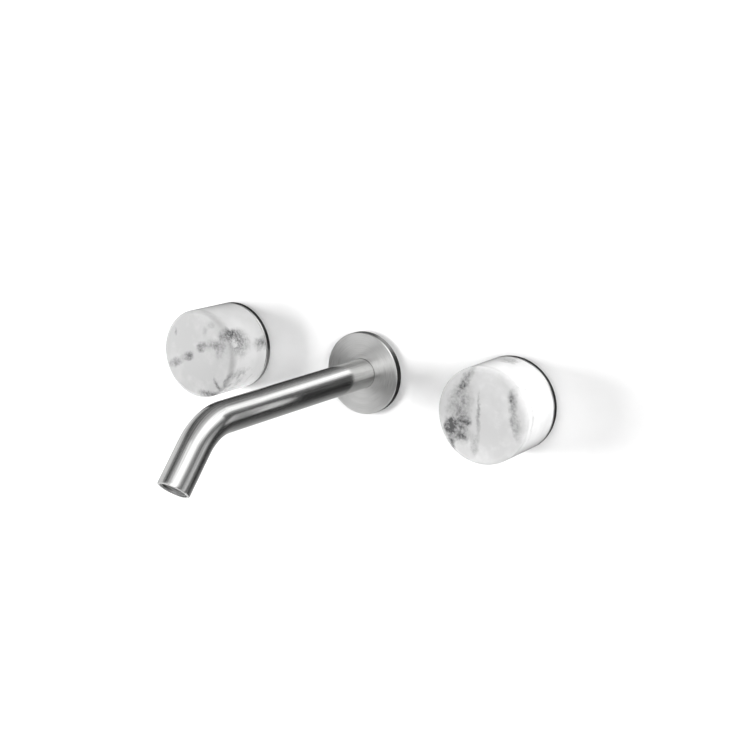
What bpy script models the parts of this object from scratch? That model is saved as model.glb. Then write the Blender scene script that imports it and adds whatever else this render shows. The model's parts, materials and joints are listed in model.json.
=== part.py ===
"""A three-hole wall mounted bath faucet: two round stone knobs and a bent spout on round steel plates.

The faucet is modelled with its concealed works: behind the wall surface two quarter-turn ceramic
disc valves feed an outlet tee through copper tubes, and a steel rail carries them.

World frame, in metres: the finished wall is the plane Y = 0, the room is on the -Y side, +X is to
the right and +Z is up. The origin is where the spout's axis meets the wall. Most pieces are made in
the wall's own frame instead, whose X runs right, whose Y runs up and whose Z, called the height,
stands off the wall into the room, so a negative height is behind the wall surface.
"""

from math import cos, pi, radians, sin, tan

import bmesh
import bpy

MM = 0.001
GAP = 0.3 * MM  # between pieces that touch on the real faucet

# Trim on the wall
HANDLE_SPACING = 200 * MM
KNOB_RADIUS = 27.5 * MM
KNOB_FRONT = 38 * MM
KNOB_BACK = 3.8 * MM
KNOB_FILLET = 3 * MM
ROSETTE_THICKNESS = 3.2 * MM
PLATE_RADIUS = 25 * MM
PLATE_THICKNESS = 4.5 * MM
GASKET_THICKNESS = 0.8 * MM

# Spout
TUBE_RADIUS = 9 * MM
TUBE_WALL = 1.5 * MM
TUBE_START = -10 * MM  # height of its end behind the wall
CORNER_HEIGHT = 150 * MM  # where the two straight centrelines would meet
BEND_RADIUS = 30 * MM
BEND_ANGLE = radians(51)
CORNER_TO_TIP = 39.5 * MM
BEND_STEPS = 9
SPIGOT_RADIUS = 7 * MM
SPIGOT_TIP = 20 * MM
SPOUT_SCREW_HEIGHT = 14 * MM
SPIGOT_ORING_HEIGHTS = {"front": 7 * MM, "rear": 1 * MM}

# Works behind the wall
OUTLET_HEIGHT = -41 * MM  # the line of the tee, the link tubes and the valves' outlets
INLET_HEIGHT = -55 * MM  # the line of the supply sockets
VALVE_FRONT = -22 * MM
VALVE_BACK = -68 * MM
VALVE_RADIUS = 16 * MM
THREAD_BORE = 10.8 * MM  # a half-inch pipe thread's socket
THREAD_RADIUS = 10.4 * MM  # the thread that screws into it
WATERWAY = 6 * MM
SEAT_HEIGHT = -50 * MM
INLET_LENGTH = 38 * MM
INLET_RADIUS = 12.4 * MM
INLET_SOCKET = 9.5 * MM
INLET_SOCKET_DEPTH = 14 * MM
PORT_LENGTH = 34 * MM
PORT_RADIUS = 10.5 * MM
PORT_SOCKET_DEPTH = 12 * MM
LINK_RADIUS = 7.5 * MM
LINK_WALL = 1 * MM
NUT_RADIUS = 13.8 * MM
NUT_LENGTH = 14 * MM
RAIL_SIZE = (290 * MM, 50 * MM, 3 * MM)
RAIL_CORNER = 6 * MM
WALL_FIXING_HOLE = 3.5 * MM
WALL_FIXING_PLACE = (135 * MM, 15 * MM)  # from the middle of the rail, along it and up
BODY_SCREW_OFFSET = 10 * MM
BODY_SCREW_RADIUS = 2.4 * MM
BODY_SCREW_HEAD = 4.5 * MM
BODY_SCREW_DEPTH = 7 * MM  # how far it reaches into the valve body

# Valve cartridge, by height
GUIDE_RADIUS = 4.5 * MM
SPINDLE_RADIUS = 4.2 * MM
SPINDLE_TIP = 15 * MM
SPLINE_START = 4 * MM
SPLINE_RADIUS = 4 * MM
SPLINE_TEETH = 12
SPLINE_TOOTH = 0.5 * MM
CHAMBER_RADIUS = 8.4 * MM
CHAMBER_ROOF = -33.5 * MM
FOOT_TOP = -36.2 * MM
FOOT_BOTTOM = -40.2 * MM
FOOT_WIDTH = 4 * MM
FOOT_LENGTH = 15 * MM
STOP_INNER = 5.5 * MM
STOP_WIDTH = 4.2 * MM
DISC_HOLE_RADIUS = 2.2 * MM
DISC_HOLE_OFFSET = 4.6 * MM
CLIP_HEIGHT = -1 * MM
SPINDLE_ORING_HEIGHT = -26 * MM
CARTRIDGE_ORING_HEIGHT = -23.5 * MM
HUB_SCREW_HEIGHT = 11 * MM

# Facets round a turned piece
TRIM_FACETS = 32
WORKS_FACETS = 16
SMALL_FACETS = 10
RUBBER_FACETS = 12
PORT_START = radians(5)  # turns a side port's facets off the planes of the bore that it meets

# Which way each handle opens, about the axis that points into the room
SIDES = {"hot": (-1, 1), "cold": (1, -1)}


def clear_scene():
    for obj in list(bpy.data.objects):
        bpy.data.objects.remove(obj, do_unlink=True)


def new_collection(name):
    collection = bpy.data.collections.new(name)
    bpy.context.scene.collection.children.link(collection)
    return collection


def new_material(name, colour, roughness, metallic):
    material = bpy.data.materials.new(name)
    material.use_nodes = True
    shader = material.node_tree.nodes["Principled BSDF"]
    shader.inputs["Base Color"].default_value = (*colour, 1)
    shader.inputs["Roughness"].default_value = roughness
    shader.inputs["Metallic"].default_value = metallic
    return material


clear_scene()
FAUCET = new_collection("wall_bath_faucet")
CUTTERS = new_collection("cutters")

MARBLE = new_material("marble", (0.86, 0.86, 0.85), 0.18, 0)
STEEL = new_material("brushed_stainless", (0.62, 0.61, 0.59), 0.32, 1)
ZINC_STEEL = new_material("zinc_plated_steel", (0.58, 0.59, 0.6), 0.45, 1)
BRASS = new_material("brass", (0.74, 0.56, 0.28), 0.35, 1)
COPPER = new_material("copper", (0.74, 0.4, 0.27), 0.35, 1)
RUBBER = new_material("rubber", (0.03, 0.03, 0.03), 0.8, 0)
CERAMIC = new_material("ceramic", (0.85, 0.83, 0.78), 0.3, 0)
PLASTIC = new_material("white_plastic", (0.75, 0.75, 0.74), 0.45, 0)


def new_empty(name, parent=None, location=(0, 0, 0), rotation=(0, 0, 0)):
    empty = bpy.data.objects.new(name, None)
    FAUCET.objects.link(empty)
    empty.parent = parent
    empty.location = location
    empty.rotation_euler = rotation
    return empty


WALL = new_empty("wall_frame", rotation=(pi / 2, 0, 0))


def new_object(name, mesh, material, parent=WALL, location=(0, 0, 0), rotation=(0, 0, 0)):
    """A piece when it has a material, and a hidden cutter when it has none."""
    obj = bpy.data.objects.new(name, mesh)
    if material:
        mesh.materials.append(material)
        FAUCET.objects.link(obj)
    else:
        CUTTERS.objects.link(obj)
        obj.hide_render = True
        obj.display_type = "WIRE"
    obj.parent = parent
    obj.location = location
    obj.rotation_euler = rotation
    return obj


def turned(name, outline, material=None, facets=WORKS_FACETS, start=0, **place):
    """Turn an outline of (radius, height) points about the height axis.

    The outline runs down the outer side, top to bottom, and its first facet begins at the start
    angle. It is closed into a ring unless it starts and ends on the axis.
    """
    count = len(outline)
    is_ring = outline[0][0] > 0
    edges = [(i, (i + 1) % count) for i in range(count if is_ring else count - 1)]
    mesh = bpy.data.meshes.new(name)
    points = [(radius * cos(start), radius * sin(start), height) for radius, height in outline]
    mesh.from_pydata(points, edges, [])
    obj = new_object(name, mesh, material, **place)
    screw = obj.modifiers.new("turn", "SCREW")
    screw.steps = screw.render_steps = facets
    screw.use_merge_vertices = True
    screw.merge_threshold = 0.01 * MM
    screw.use_smooth_shade = False
    return obj


def ring(name, inner, outer, low, high, material=None, **place):
    return turned(name, [(outer, high), (outer, low), (inner, low), (inner, high)], material, **place)


def rod(name, radius, low, high, material=None, **place):
    return turned(name, [(0, high), (radius, high), (radius, low), (0, low)], material, **place)


def stepped_bore(name, steps, bottom, **place):
    """A cutter for a bore that narrows: steps of (radius, height it starts at), mouth first."""
    outline = [(0, steps[0][1])]
    for number, (radius, start_height) in enumerate(steps):
        end_height = steps[number + 1][1] if number + 1 < len(steps) else bottom
        outline += [(radius, start_height), (radius, end_height)]
    return turned(name, outline + [(0, bottom)], **place)


def oring(name, centre_radius, section_radius, height, material, section_facets=6, **place):
    outline = []
    for step in range(section_facets):
        angle = -2 * pi * step / section_facets
        outline.append((centre_radius + section_radius * cos(angle), height + section_radius * sin(angle)))
    return turned(name, outline, material, facets=RUBBER_FACETS, **place)


def add_prism(shape, radii, low, high, centre=(0, 0)):
    """Add a straight bar whose section has one corner at each of the radii, evenly spaced."""
    made = bmesh.ops.create_cone(
        shape, cap_ends=True, segments=len(radii), radius1=1, radius2=1, depth=2
    )
    tops = [vert for vert in made["verts"] if vert.co.z > 0]
    bottoms = [vert for vert in made["verts"] if vert.co.z < 0]
    for corners, level in ((tops, high), (bottoms, low)):
        for vert, radius in zip(corners, radii):
            vert.co = (centre[0] + vert.co.x * radius, centre[1] + vert.co.y * radius, level)


def object_of_shape(name, shape, material, **place):
    mesh = bpy.data.meshes.new(name)
    shape.to_mesh(mesh)
    shape.free()
    return new_object(name, mesh, material, **place)


def prism(name, radii, low, high, material=None, **place):
    shape = bmesh.new()
    add_prism(shape, radii, low, high)
    return object_of_shape(name, shape, material, **place)


def box(name, size, centre, material=None, **place):
    shape = bmesh.new()
    bmesh.ops.create_cube(shape, size=1)
    bmesh.ops.scale(shape, verts=shape.verts, vec=size)
    bmesh.ops.translate(shape, verts=shape.verts, vec=centre)
    return object_of_shape(name, shape, material, **place)


def combine(target, other, operation):
    boolean = target.modifiers.new(f"{operation.lower()} {other.name}", "BOOLEAN")
    boolean.operation = operation
    boolean.object = other
    boolean.solver = "EXACT"


def cut(target, *cutters):
    for cutter in cutters:
        combine(target, cutter, "DIFFERENCE")


def flatten(target):
    """Split the many-sided faces that a Boolean leaves, which are flat only to rounding, so that
    the next Boolean cuts them cleanly."""
    target.modifiers.new("flat faces", "TRIANGULATE")


def join(target, *pieces):
    for piece in pieces:
        combine(target, piece, "UNION")


ALONG_X = (0, pi / 2, 0)  # turns a piece's height axis to the right
DOWNWARD = (pi / 2, 0, 0)  # turns a piece's height axis to point down


# Spout


def spout_centreline():
    """Points of the tube's centreline in the wall frame: straight out, a bend, and the tip."""
    tangent = BEND_RADIUS * tan(BEND_ANGLE / 2)
    bend_start = CORNER_HEIGHT - tangent
    points = [(0, 0, TUBE_START)]
    for step in range(BEND_STEPS + 1):
        angle = BEND_ANGLE * step / BEND_STEPS
        points.append((0, BEND_RADIUS * (cos(angle) - 1), bend_start + BEND_RADIUS * sin(angle)))
    tip_length = CORNER_TO_TIP - tangent
    _, up, height = points[-1]
    points.append((0, up - tip_length * sin(BEND_ANGLE), height + tip_length * cos(BEND_ANGLE)))
    return points


def mesh_of_curve(curve_object):
    """Replace a curve object by a mesh object of the same name and place."""
    graph = bpy.context.evaluated_depsgraph_get()
    mesh = bpy.data.meshes.new_from_object(curve_object.evaluated_get(graph))
    shape = bmesh.new()
    shape.from_mesh(mesh)
    bmesh.ops.remove_doubles(shape, verts=shape.verts, dist=0.001 * MM)
    shape.to_mesh(mesh)
    shape.free()
    name = curve_object.name
    matrix = curve_object.matrix_world.copy()
    bpy.data.objects.remove(curve_object)
    obj = bpy.data.objects.new(name, mesh)
    FAUCET.objects.link(obj)
    obj.matrix_world = matrix
    return obj


def make_spout_tube():
    points = spout_centreline()
    curve = bpy.data.curves.new("spout_tube", "CURVE")
    curve.dimensions = "3D"
    curve.bevel_depth = TUBE_RADIUS
    curve.bevel_resolution = 8
    spline = curve.splines.new("POLY")
    spline.points.add(len(points) - 1)
    for point, place in zip(spline.points, points):
        point.co = (*place, 1)
    outer = new_object("spout_tube", curve, STEEL)
    bpy.context.view_layer.update()
    tube = mesh_of_curve(outer)
    wall = tube.modifiers.new("wall", "SOLIDIFY")
    wall.thickness = TUBE_WALL
    wall.offset = -1
    wall.use_even_offset = True
    hole = rod("spout_screw_hole", 2.3 * MM, 5 * MM, 12 * MM, facets=SMALL_FACETS,
               location=(0, 0, SPOUT_SCREW_HEIGHT), rotation=DOWNWARD)
    cut(tube, hole)


def flat_plate(name, radius, thickness, gasket_band, middle, material, **place):
    """A round plate with a bevelled front edge and a band sunk in its back for a gasket.

    The middle lists the points of the hole's wall, from the back to the front.
    """
    edge = 0.4 * MM
    band_in, band_out = gasket_band
    sunk = GASKET_THICKNESS + GAP
    outline = [
        (radius - edge, thickness), (radius, thickness - edge), (radius, 0), (band_out, 0),
        (band_out, sunk), (band_in, sunk), (band_in, 0), *middle,
    ]
    return turned(name, outline, material, facets=TRIM_FACETS, **place)


def make_spout_plate():
    hole = TUBE_RADIUS + GAP
    middle = [(hole, 0), (hole, PLATE_THICKNESS)]
    flat_plate("spout_plate", PLATE_RADIUS, PLATE_THICKNESS, (12 * MM, 22 * MM), middle, STEEL)
    ring("spout_plate_gasket", 12 * MM + 2 * GAP, 22 * MM - GAP, 0, GASKET_THICKNESS, RUBBER)


def make_spout_adaptor():
    """The brass nipple that plugs into the tube and screws into the tee."""
    bore = 3.6 * MM
    hex_front, hex_back = TUBE_START - 2 * GAP, TUBE_START - 9 * MM
    tail_end = VALVE_FRONT - 11 * MM
    outline = [(SPIGOT_RADIUS - 1 * MM, SPIGOT_TIP), (SPIGOT_RADIUS, SPIGOT_TIP - 1 * MM)]
    grooves = [(SPOUT_SCREW_HEIGHT, 2.6 * MM, 1.5 * MM)]  # height, half width, depth
    grooves += [(height, 1.2 * MM, 1.9 * MM) for height in SPIGOT_ORING_HEIGHTS.values()]
    for height, half, depth in grooves:
        outline += [(SPIGOT_RADIUS, height + half), (SPIGOT_RADIUS - depth, height + half),
                    (SPIGOT_RADIUS - depth, height - half), (SPIGOT_RADIUS, height - half)]
    outline += [
        (SPIGOT_RADIUS, hex_back + GAP), (THREAD_RADIUS, hex_back + GAP), (THREAD_RADIUS, tail_end),
        (bore, tail_end), (bore, SPIGOT_TIP),
    ]
    adaptor = turned("spout_adaptor", outline, BRASS)
    hexagon = prism("adaptor_hexagon", [14.5 * MM] * 6, hex_back, hex_front)
    core = rod("adaptor_hexagon_core", bore + 1 * MM, hex_back - 1 * MM, hex_front + 1 * MM)
    cut(hexagon, core)
    join(adaptor, hexagon)
    ring("adaptor_washer", THREAD_BORE, 13.5 * MM, VALVE_FRONT + GAP, hex_back - GAP, RUBBER)
    for place, height in SPIGOT_ORING_HEIGHTS.items():
        oring(f"spout_oring_{place}", 6.3 * MM, 0.9 * MM, height, RUBBER)
    grub_screw("spout_grub_screw", 5.9 * MM, 8.8 * MM, WALL, SPOUT_SCREW_HEIGHT)


def grub_screw(name, low, high, parent, height):
    """A hexagon socket set screw that points up from below an axis, between two radii."""
    radius, point = 2 * MM, 0.8 * MM
    outline = [(0, high), (radius, high), (radius, low + point), (radius - point, low), (0, low)]
    screw = turned(name, outline, ZINC_STEEL, facets=SMALL_FACETS,
                   parent=parent, location=(0, 0, height), rotation=DOWNWARD)
    socket = prism(f"{name}_socket", [1.1 * MM] * 6, high - 1.6 * MM, high + 1 * MM,
                   parent=parent, location=(0, 0, height), rotation=DOWNWARD)
    cut(screw, socket)


def ring_of_holes(name, hole_radius, ring_radius, count, low, high, **place):
    """One cutter for a middle hole and a ring of holes about it."""
    shape = bmesh.new()
    add_prism(shape, [hole_radius] * 6, low, high)
    for step in range(count):
        angle = 2 * pi * step / count
        centre = (ring_radius * cos(angle), ring_radius * sin(angle))
        add_prism(shape, [hole_radius] * 6, low, high, centre)
    return object_of_shape(name, shape, None, **place)


def make_aerator():
    """The insert in the spout's mouth. Its height axis leaves the tip, and the mouth is at 0."""
    _, up, height = spout_centreline()[-1]
    mouth = new_empty("spout_mouth", WALL, (0, up, height), (BEND_ANGLE, 0, 0))
    outer = TUBE_RADIUS - TUBE_WALL - GAP
    inner, lip_inner = outer - 0.9 * MM, outer - 1.6 * MM
    front, lip, back = -0.6 * MM, -1.3 * MM, -10 * MM
    turned("aerator_housing", [(outer, back), (outer, front), (lip_inner, front),
                               (lip_inner, lip), (inner, lip), (inner, back)][::-1],
           STEEL, parent=mouth)
    insert = inner - GAP
    screen = rod("aerator_screen", insert, lip - GAP - 1.2 * MM, lip - GAP, PLASTIC, parent=mouth)
    cut(screen, ring_of_holes("screen_holes", 1.3 * MM, 3.6 * MM, 6, -5 * MM, 1 * MM, parent=mouth))
    core_front = lip - 2 * GAP - 1.2 * MM
    turned("aerator_core", [(insert, back + GAP), (insert, core_front), (4 * MM, core_front),
                            (2 * MM, core_front - 3 * MM), (2 * MM, back + GAP)][::-1],
           PLASTIC, parent=mouth)
    ring("aerator_seal", lip_inner, outer, back - 2 * MM, back - GAP, RUBBER, parent=mouth)


# Works behind the wall


def make_tee():
    along = {"location": (0, 0, OUTLET_HEIGHT), "rotation": ALONG_X}
    tee = rod("outlet_tee", PORT_RADIUS, -PORT_LENGTH, PORT_LENGTH, BRASS, **along)
    join(tee, rod("tee_middle", 13 * MM, -17 * MM, 17 * MM, **along))
    join(tee, rod("tee_front_port", 14 * MM, OUTLET_HEIGHT, VALVE_FRONT, start=PORT_START))
    cut(tee, stepped_bore("tee_front_bore", [(THREAD_BORE, VALVE_FRONT + 1 * MM),
                                             (WATERWAY - 1 * MM, VALVE_FRONT - 12 * MM)],
                          OUTLET_HEIGHT, start=PORT_START))
    socket, step = LINK_RADIUS + GAP, PORT_LENGTH - PORT_SOCKET_DEPTH
    cut(tee, turned("tee_cross_bore", [(0, PORT_LENGTH + 1 * MM), (socket, PORT_LENGTH + 1 * MM),
                                       (socket, step), (WATERWAY, step), (WATERWAY, -step),
                                       (socket, -step), (socket, -PORT_LENGTH - 1 * MM),
                                       (0, -PORT_LENGTH - 1 * MM)], **along))


def make_link(side, sign):
    """The copper tube from a valve to the tee, with a compression nut and an olive at each end."""
    half = HANDLE_SPACING / 4  # half of the tee-to-valve distance
    reach = half - PORT_LENGTH  # from the middle of the link to each port's mouth
    middle = new_empty(f"{side}_link_middle", WALL, (sign * half, 0, OUTLET_HEIGHT), ALONG_X)
    end = reach + PORT_SOCKET_DEPTH - GAP
    ring(f"{side}_link_tube", LINK_RADIUS - LINK_WALL, LINK_RADIUS, -end, end, COPPER, parent=middle)
    collar = LINK_RADIUS + GAP
    olive_length, thread_reach = 3.5 * MM, 8 * MM
    for end_name, direction in (("tee", -sign), ("valve", sign)):
        place = {"parent": middle, "rotation": (0 if direction > 0 else pi, 0, 0)}
        mouth = reach - GAP
        back = mouth - olive_length - 2 * GAP
        nut = prism(f"{side}_{end_name}_nut", [NUT_RADIUS] * 6, reach + thread_reach - NUT_LENGTH,
                    reach + thread_reach, BRASS, **place)
        cut(nut, rod(f"{side}_{end_name}_nut_bore", collar, 0, 2 * reach, **place))
        cut(nut, rod(f"{side}_{end_name}_nut_thread", PORT_RADIUS + GAP, back, 2 * reach, **place))
        turned(f"{side}_{end_name}_olive",
               [(collar + 0.6 * MM, mouth), (collar + 1.8 * MM, mouth - olive_length / 2),
                (collar + 0.6 * MM, mouth - olive_length), (collar, mouth - olive_length),
                (collar, mouth)], BRASS, **place)


def make_valve_body(side, sign, pivot):
    body = rod(f"{side}_valve_body", VALVE_RADIUS, VALVE_BACK, VALVE_FRONT, BRASS, parent=pivot)
    inlet = {"parent": pivot, "location": (0, 0, INLET_HEIGHT), "rotation": DOWNWARD,
             "start": PORT_START}
    outlet = {"parent": pivot, "location": (0, 0, OUTLET_HEIGHT), "start": PORT_START,
              "rotation": (0, -sign * pi / 2, 0)}
    join(body, rod(f"{side}_inlet_port", INLET_RADIUS, 0, INLET_LENGTH, **inlet))
    join(body, rod(f"{side}_outlet_port", PORT_RADIUS, 0, PORT_LENGTH, **outlet))
    bores = (
        stepped_bore(f"{side}_cartridge_bore", [(THREAD_BORE, VALVE_FRONT + 1 * MM),
                                                (WATERWAY, SEAT_HEIGHT)],
                     INLET_HEIGHT - 3 * MM, parent=pivot),
        stepped_bore(f"{side}_inlet_bore", [(INLET_SOCKET, INLET_LENGTH + 1 * MM),
                                            (WATERWAY - 1 * MM, INLET_LENGTH - INLET_SOCKET_DEPTH)],
                     -WATERWAY / 2, **inlet),
        stepped_bore(f"{side}_outlet_bore", [(LINK_RADIUS + GAP, PORT_LENGTH + 1 * MM),
                                             (WATERWAY, PORT_LENGTH - PORT_SOCKET_DEPTH)],
                     VALVE_RADIUS / 2, **outlet),
    )
    for bore in bores:
        flatten(body)
        cut(body, bore)
    for screw_name, offset in (("left", -BODY_SCREW_OFFSET), ("right", BODY_SCREW_OFFSET)):
        flatten(body)
        cut(body, rod(f"{side}_{screw_name}_screw_hole", BODY_SCREW_RADIUS + GAP, VALVE_BACK - 1 * MM,
                      VALVE_BACK + BODY_SCREW_DEPTH + 1 * MM, parent=pivot, location=(offset, 0, 0),
                      facets=SMALL_FACETS))
        body_screw(f"{side}_body_screw_{screw_name}", pivot, offset)


def body_screw(name, pivot, offset):
    """A countersunk screw that holds a valve body to the rail from behind."""
    head_back = VALVE_BACK - RAIL_SIZE[2]
    socket_depth = 1.6 * MM
    tip = VALVE_BACK + BODY_SCREW_DEPTH
    outline = [
        (0, tip), (BODY_SCREW_RADIUS, tip),
        (BODY_SCREW_RADIUS, head_back + BODY_SCREW_HEAD - BODY_SCREW_RADIUS),
        (BODY_SCREW_HEAD, head_back), (0, head_back),
    ]
    screw = turned(name, outline, ZINC_STEEL, facets=SMALL_FACETS, parent=pivot, location=(offset, 0, 0))
    cut(screw, prism(f"{name}_socket", [1.7 * MM] * 6, head_back - 1 * MM, head_back + socket_depth,
                     parent=pivot, location=(offset, 0, 0)))


def make_rail():
    """The flat steel rail that carries both valve bodies and is screwed to the wall's frame."""
    front = VALVE_BACK - GAP
    thickness = RAIL_SIZE[2]
    back = front - thickness
    rail = box("mounting_rail", RAIL_SIZE, (0, 0, (front + back) / 2), ZINC_STEEL)
    bevel = rail.modifiers.new("rounded corners", "BEVEL")
    bevel.width = RAIL_CORNER
    bevel.segments = 2
    bevel.affect = "EDGES"
    bevel.limit_method = "WEIGHT"
    weights = rail.data.attributes.new("bevel_weight_edge", "FLOAT", "EDGE")
    for edge, weight in zip(rail.data.edges, weights.data):
        ends = [rail.data.vertices[i].co for i in edge.vertices]
        weight.value = 1 if abs(ends[0].z - ends[1].z) > thickness / 2 else 0
    screw_hole, sink = BODY_SCREW_RADIUS + GAP, BODY_SCREW_HEAD + 2 * GAP
    countersunk = [(0, front + 1 * MM), (screw_hole, front + 1 * MM),
                   (screw_hole, back + sink - screw_hole), (sink + 1 * MM, back - 1 * MM), (0, back - 1 * MM)]
    along, up = WALL_FIXING_PLACE
    for side, (sign, _) in SIDES.items():
        for offset in (-BODY_SCREW_OFFSET, BODY_SCREW_OFFSET):
            cut(rail, turned(f"{side}_rail_screw_hole_{round(offset / MM)}", countersunk,
                             facets=SMALL_FACETS, location=(sign * HANDLE_SPACING / 2 + offset, 0, 0)))
        for direction in (-1, 1):
            cut(rail, rod(f"{side}_wall_fixing_hole_{direction}", WALL_FIXING_HOLE, back - 1 * MM,
                          front + 1 * MM, facets=SMALL_FACETS, location=(sign * along, direction * up, 0)))


def make_cartridge(side, pivot):
    """The brass headwork that guides the spindle and holds the ceramic discs over the seat."""
    hex_front, hex_back = -15 * MM, VALVE_FRONT + GAP
    neck, chamber_outer = 8.6 * MM, 9.6 * MM
    chamber_end = SEAT_HEIGHT + 1.1 * MM
    groove = 1.1 * MM
    outline = [
        (8.5 * MM, -2 * MM), (8.5 * MM, hex_back), (THREAD_RADIUS, hex_back),
        (THREAD_RADIUS, CARTRIDGE_ORING_HEIGHT + groove), (neck, CARTRIDGE_ORING_HEIGHT + groove),
        (neck, CARTRIDGE_ORING_HEIGHT - groove), (THREAD_RADIUS, CARTRIDGE_ORING_HEIGHT - groove),
        (THREAD_RADIUS, CHAMBER_ROOF), (chamber_outer, CHAMBER_ROOF), (chamber_outer, chamber_end),
        (CHAMBER_RADIUS, chamber_end), (CHAMBER_RADIUS, CHAMBER_ROOF), (GUIDE_RADIUS, CHAMBER_ROOF),
        (GUIDE_RADIUS, -2 * MM),
    ]
    cartridge = turned(f"{side}_cartridge_body", outline, BRASS, parent=pivot)
    hexagon = prism(f"{side}_cartridge_hexagon", [13.8 * MM] * 6, hex_back, hex_front, parent=pivot)
    cut(hexagon, rod(f"{side}_hexagon_core", 7 * MM, hex_back - 1 * MM, hex_front + 1 * MM, parent=pivot))
    join(cartridge, hexagon)
    window = (30 * MM, 6 * MM, 6 * MM)
    cut(cartridge, box(f"{side}_water_window", window, (0, 0, -41 * MM), parent=pivot,
                       rotation=(0, 0, pi / 2)))
    stop_length = CHAMBER_RADIUS + 0.6 * MM - STOP_INNER
    stop_top, stop_bottom = CHAMBER_ROOF + 0.5 * MM, FOOT_BOTTOM + GAP
    for sign in (-1, 1):
        centre = (sign * (STOP_INNER + stop_length / 2), 0, (stop_top + stop_bottom) / 2)
        size = (stop_length, STOP_WIDTH, stop_top - stop_bottom)
        join(cartridge, box(f"{side}_stop_{sign}", size, centre, parent=pivot))
    oring(f"{side}_cartridge_oring", 9.7 * MM, 0.8 * MM, CARTRIDGE_ORING_HEIGHT, RUBBER, parent=pivot)
    ring(f"{side}_seat_seal", WATERWAY + GAP, CHAMBER_RADIUS - GAP, SEAT_HEIGHT + GAP,
         SEAT_HEIGHT + 1.7 * MM, RUBBER, parent=pivot)


def ceramic_disc(name, radius, low, high, hole_angle, parent):
    """A disc with two water holes on one diameter."""
    disc = rod(name, radius, low, high, CERAMIC, parent=parent)
    for number, angle in enumerate((hole_angle, hole_angle + pi)):
        place = (DISC_HOLE_OFFSET * cos(angle), DISC_HOLE_OFFSET * sin(angle), 0)
        cut(disc, rod(f"{name}_hole_{number}", DISC_HOLE_RADIUS, low - 1 * MM, high + 1 * MM,
                      parent=parent, location=place, facets=SMALL_FACETS))
    return disc


def make_discs(side, opens, pivot, handle):
    """The fixed disc and the moving disc, whose holes meet when the handle has made its quarter turn."""
    foot_angle = pi / 2 - opens * pi / 4
    closed_holes = foot_angle + pi / 2
    open_holes = closed_holes + opens * pi / 2
    fixed_low, fixed_high = SEAT_HEIGHT + 2 * MM, SEAT_HEIGHT + 5.6 * MM
    moving_low, moving_high = fixed_high + GAP, FOOT_BOTTOM - GAP
    ceramic_disc(f"{side}_fixed_disc", CHAMBER_RADIUS - GAP, fixed_low, fixed_high, open_holes, pivot)
    moving = ceramic_disc(f"{side}_moving_disc", CHAMBER_RADIUS - 0.8 * MM, moving_low, moving_high,
                          closed_holes, handle)
    tab_depth = 1.8 * MM
    slot = (10.6 * MM, 3 * MM, 2 * (tab_depth + GAP))
    cut(moving, box(f"{side}_disc_slot", slot, (0, 0, moving_high), parent=handle,
                    rotation=(0, 0, foot_angle)))
    return foot_angle


def make_spindle(side, handle, foot_angle):
    groove, clip_groove = 1 * MM, 0.7 * MM
    oring_bottom, clip_bottom = 2.6 * MM, 3.2 * MM
    outline = [(0, SPLINE_START), (SPINDLE_RADIUS, SPLINE_START)]
    for height, half, bottom in (
        (CLIP_HEIGHT, clip_groove, clip_bottom), (SPINDLE_ORING_HEIGHT, groove, oring_bottom)
    ):
        outline += [(SPINDLE_RADIUS, height + half), (bottom, height + half),
                    (bottom, height - half), (SPINDLE_RADIUS, height - half)]
    outline += [(SPINDLE_RADIUS, FOOT_TOP), (0, FOOT_TOP)]
    spindle = turned(f"{side}_spindle", outline, BRASS, parent=handle)
    crest, root = SPLINE_RADIUS, SPLINE_RADIUS - SPLINE_TOOTH
    join(
        spindle,
        prism(f"{side}_spline", [crest, root] * SPLINE_TEETH, SPLINE_START - 1 * MM, SPINDLE_TIP,
              parent=handle),
        box(f"{side}_foot", (FOOT_LENGTH, FOOT_WIDTH, FOOT_TOP - FOOT_BOTTOM + 1 * MM),
            (0, 0, (FOOT_TOP + FOOT_BOTTOM + 1 * MM) / 2), parent=handle, rotation=(0, 0, foot_angle)),
        box(f"{side}_drive_tab", (10 * MM, 2.4 * MM, 3 * MM), (0, 0, FOOT_BOTTOM - 0.3 * MM),
            parent=handle, rotation=(0, 0, foot_angle)),
    )
    oring(f"{side}_spindle_oring", 3.55 * MM, 0.65 * MM, SPINDLE_ORING_HEIGHT, RUBBER, parent=handle)
    ring(f"{side}_spindle_clip", clip_bottom + GAP, 6 * MM, CLIP_HEIGHT - 0.4 * MM,
         CLIP_HEIGHT + 0.4 * MM, ZINC_STEEL, parent=handle)


def make_rosette(side, pivot):
    """The steel ring on the wall behind a knob, and the threaded sleeve that clamps it."""
    hole, shoulder = 11 * MM, 14.4 * MM
    middle = [(hole, 0), (hole, ROSETTE_THICKNESS / 2), (shoulder, ROSETTE_THICKNESS / 2),
              (shoulder, ROSETTE_THICKNESS)]
    flat_plate(f"{side}_rosette", KNOB_RADIUS, ROSETTE_THICKNESS, (16 * MM, 24 * MM), middle, STEEL,
               parent=pivot)
    ring(f"{side}_rosette_gasket", 16 * MM + 2 * GAP, 24 * MM - GAP, 0, GASKET_THICKNESS, RUBBER,
         parent=pivot)
    flange_back = ROSETTE_THICKNESS / 2 + GAP
    sleeve_inner, sleeve_outer = 8.9 * MM, 10.6 * MM
    turned(f"{side}_wall_sleeve",
           [(shoulder - GAP, ROSETTE_THICKNESS - GAP), (shoulder - GAP, flange_back),
            (sleeve_outer, flange_back), (sleeve_outer, -14.5 * MM), (sleeve_inner, -14.5 * MM),
            (sleeve_inner, ROSETTE_THICKNESS - GAP)], BRASS, parent=pivot)


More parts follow.
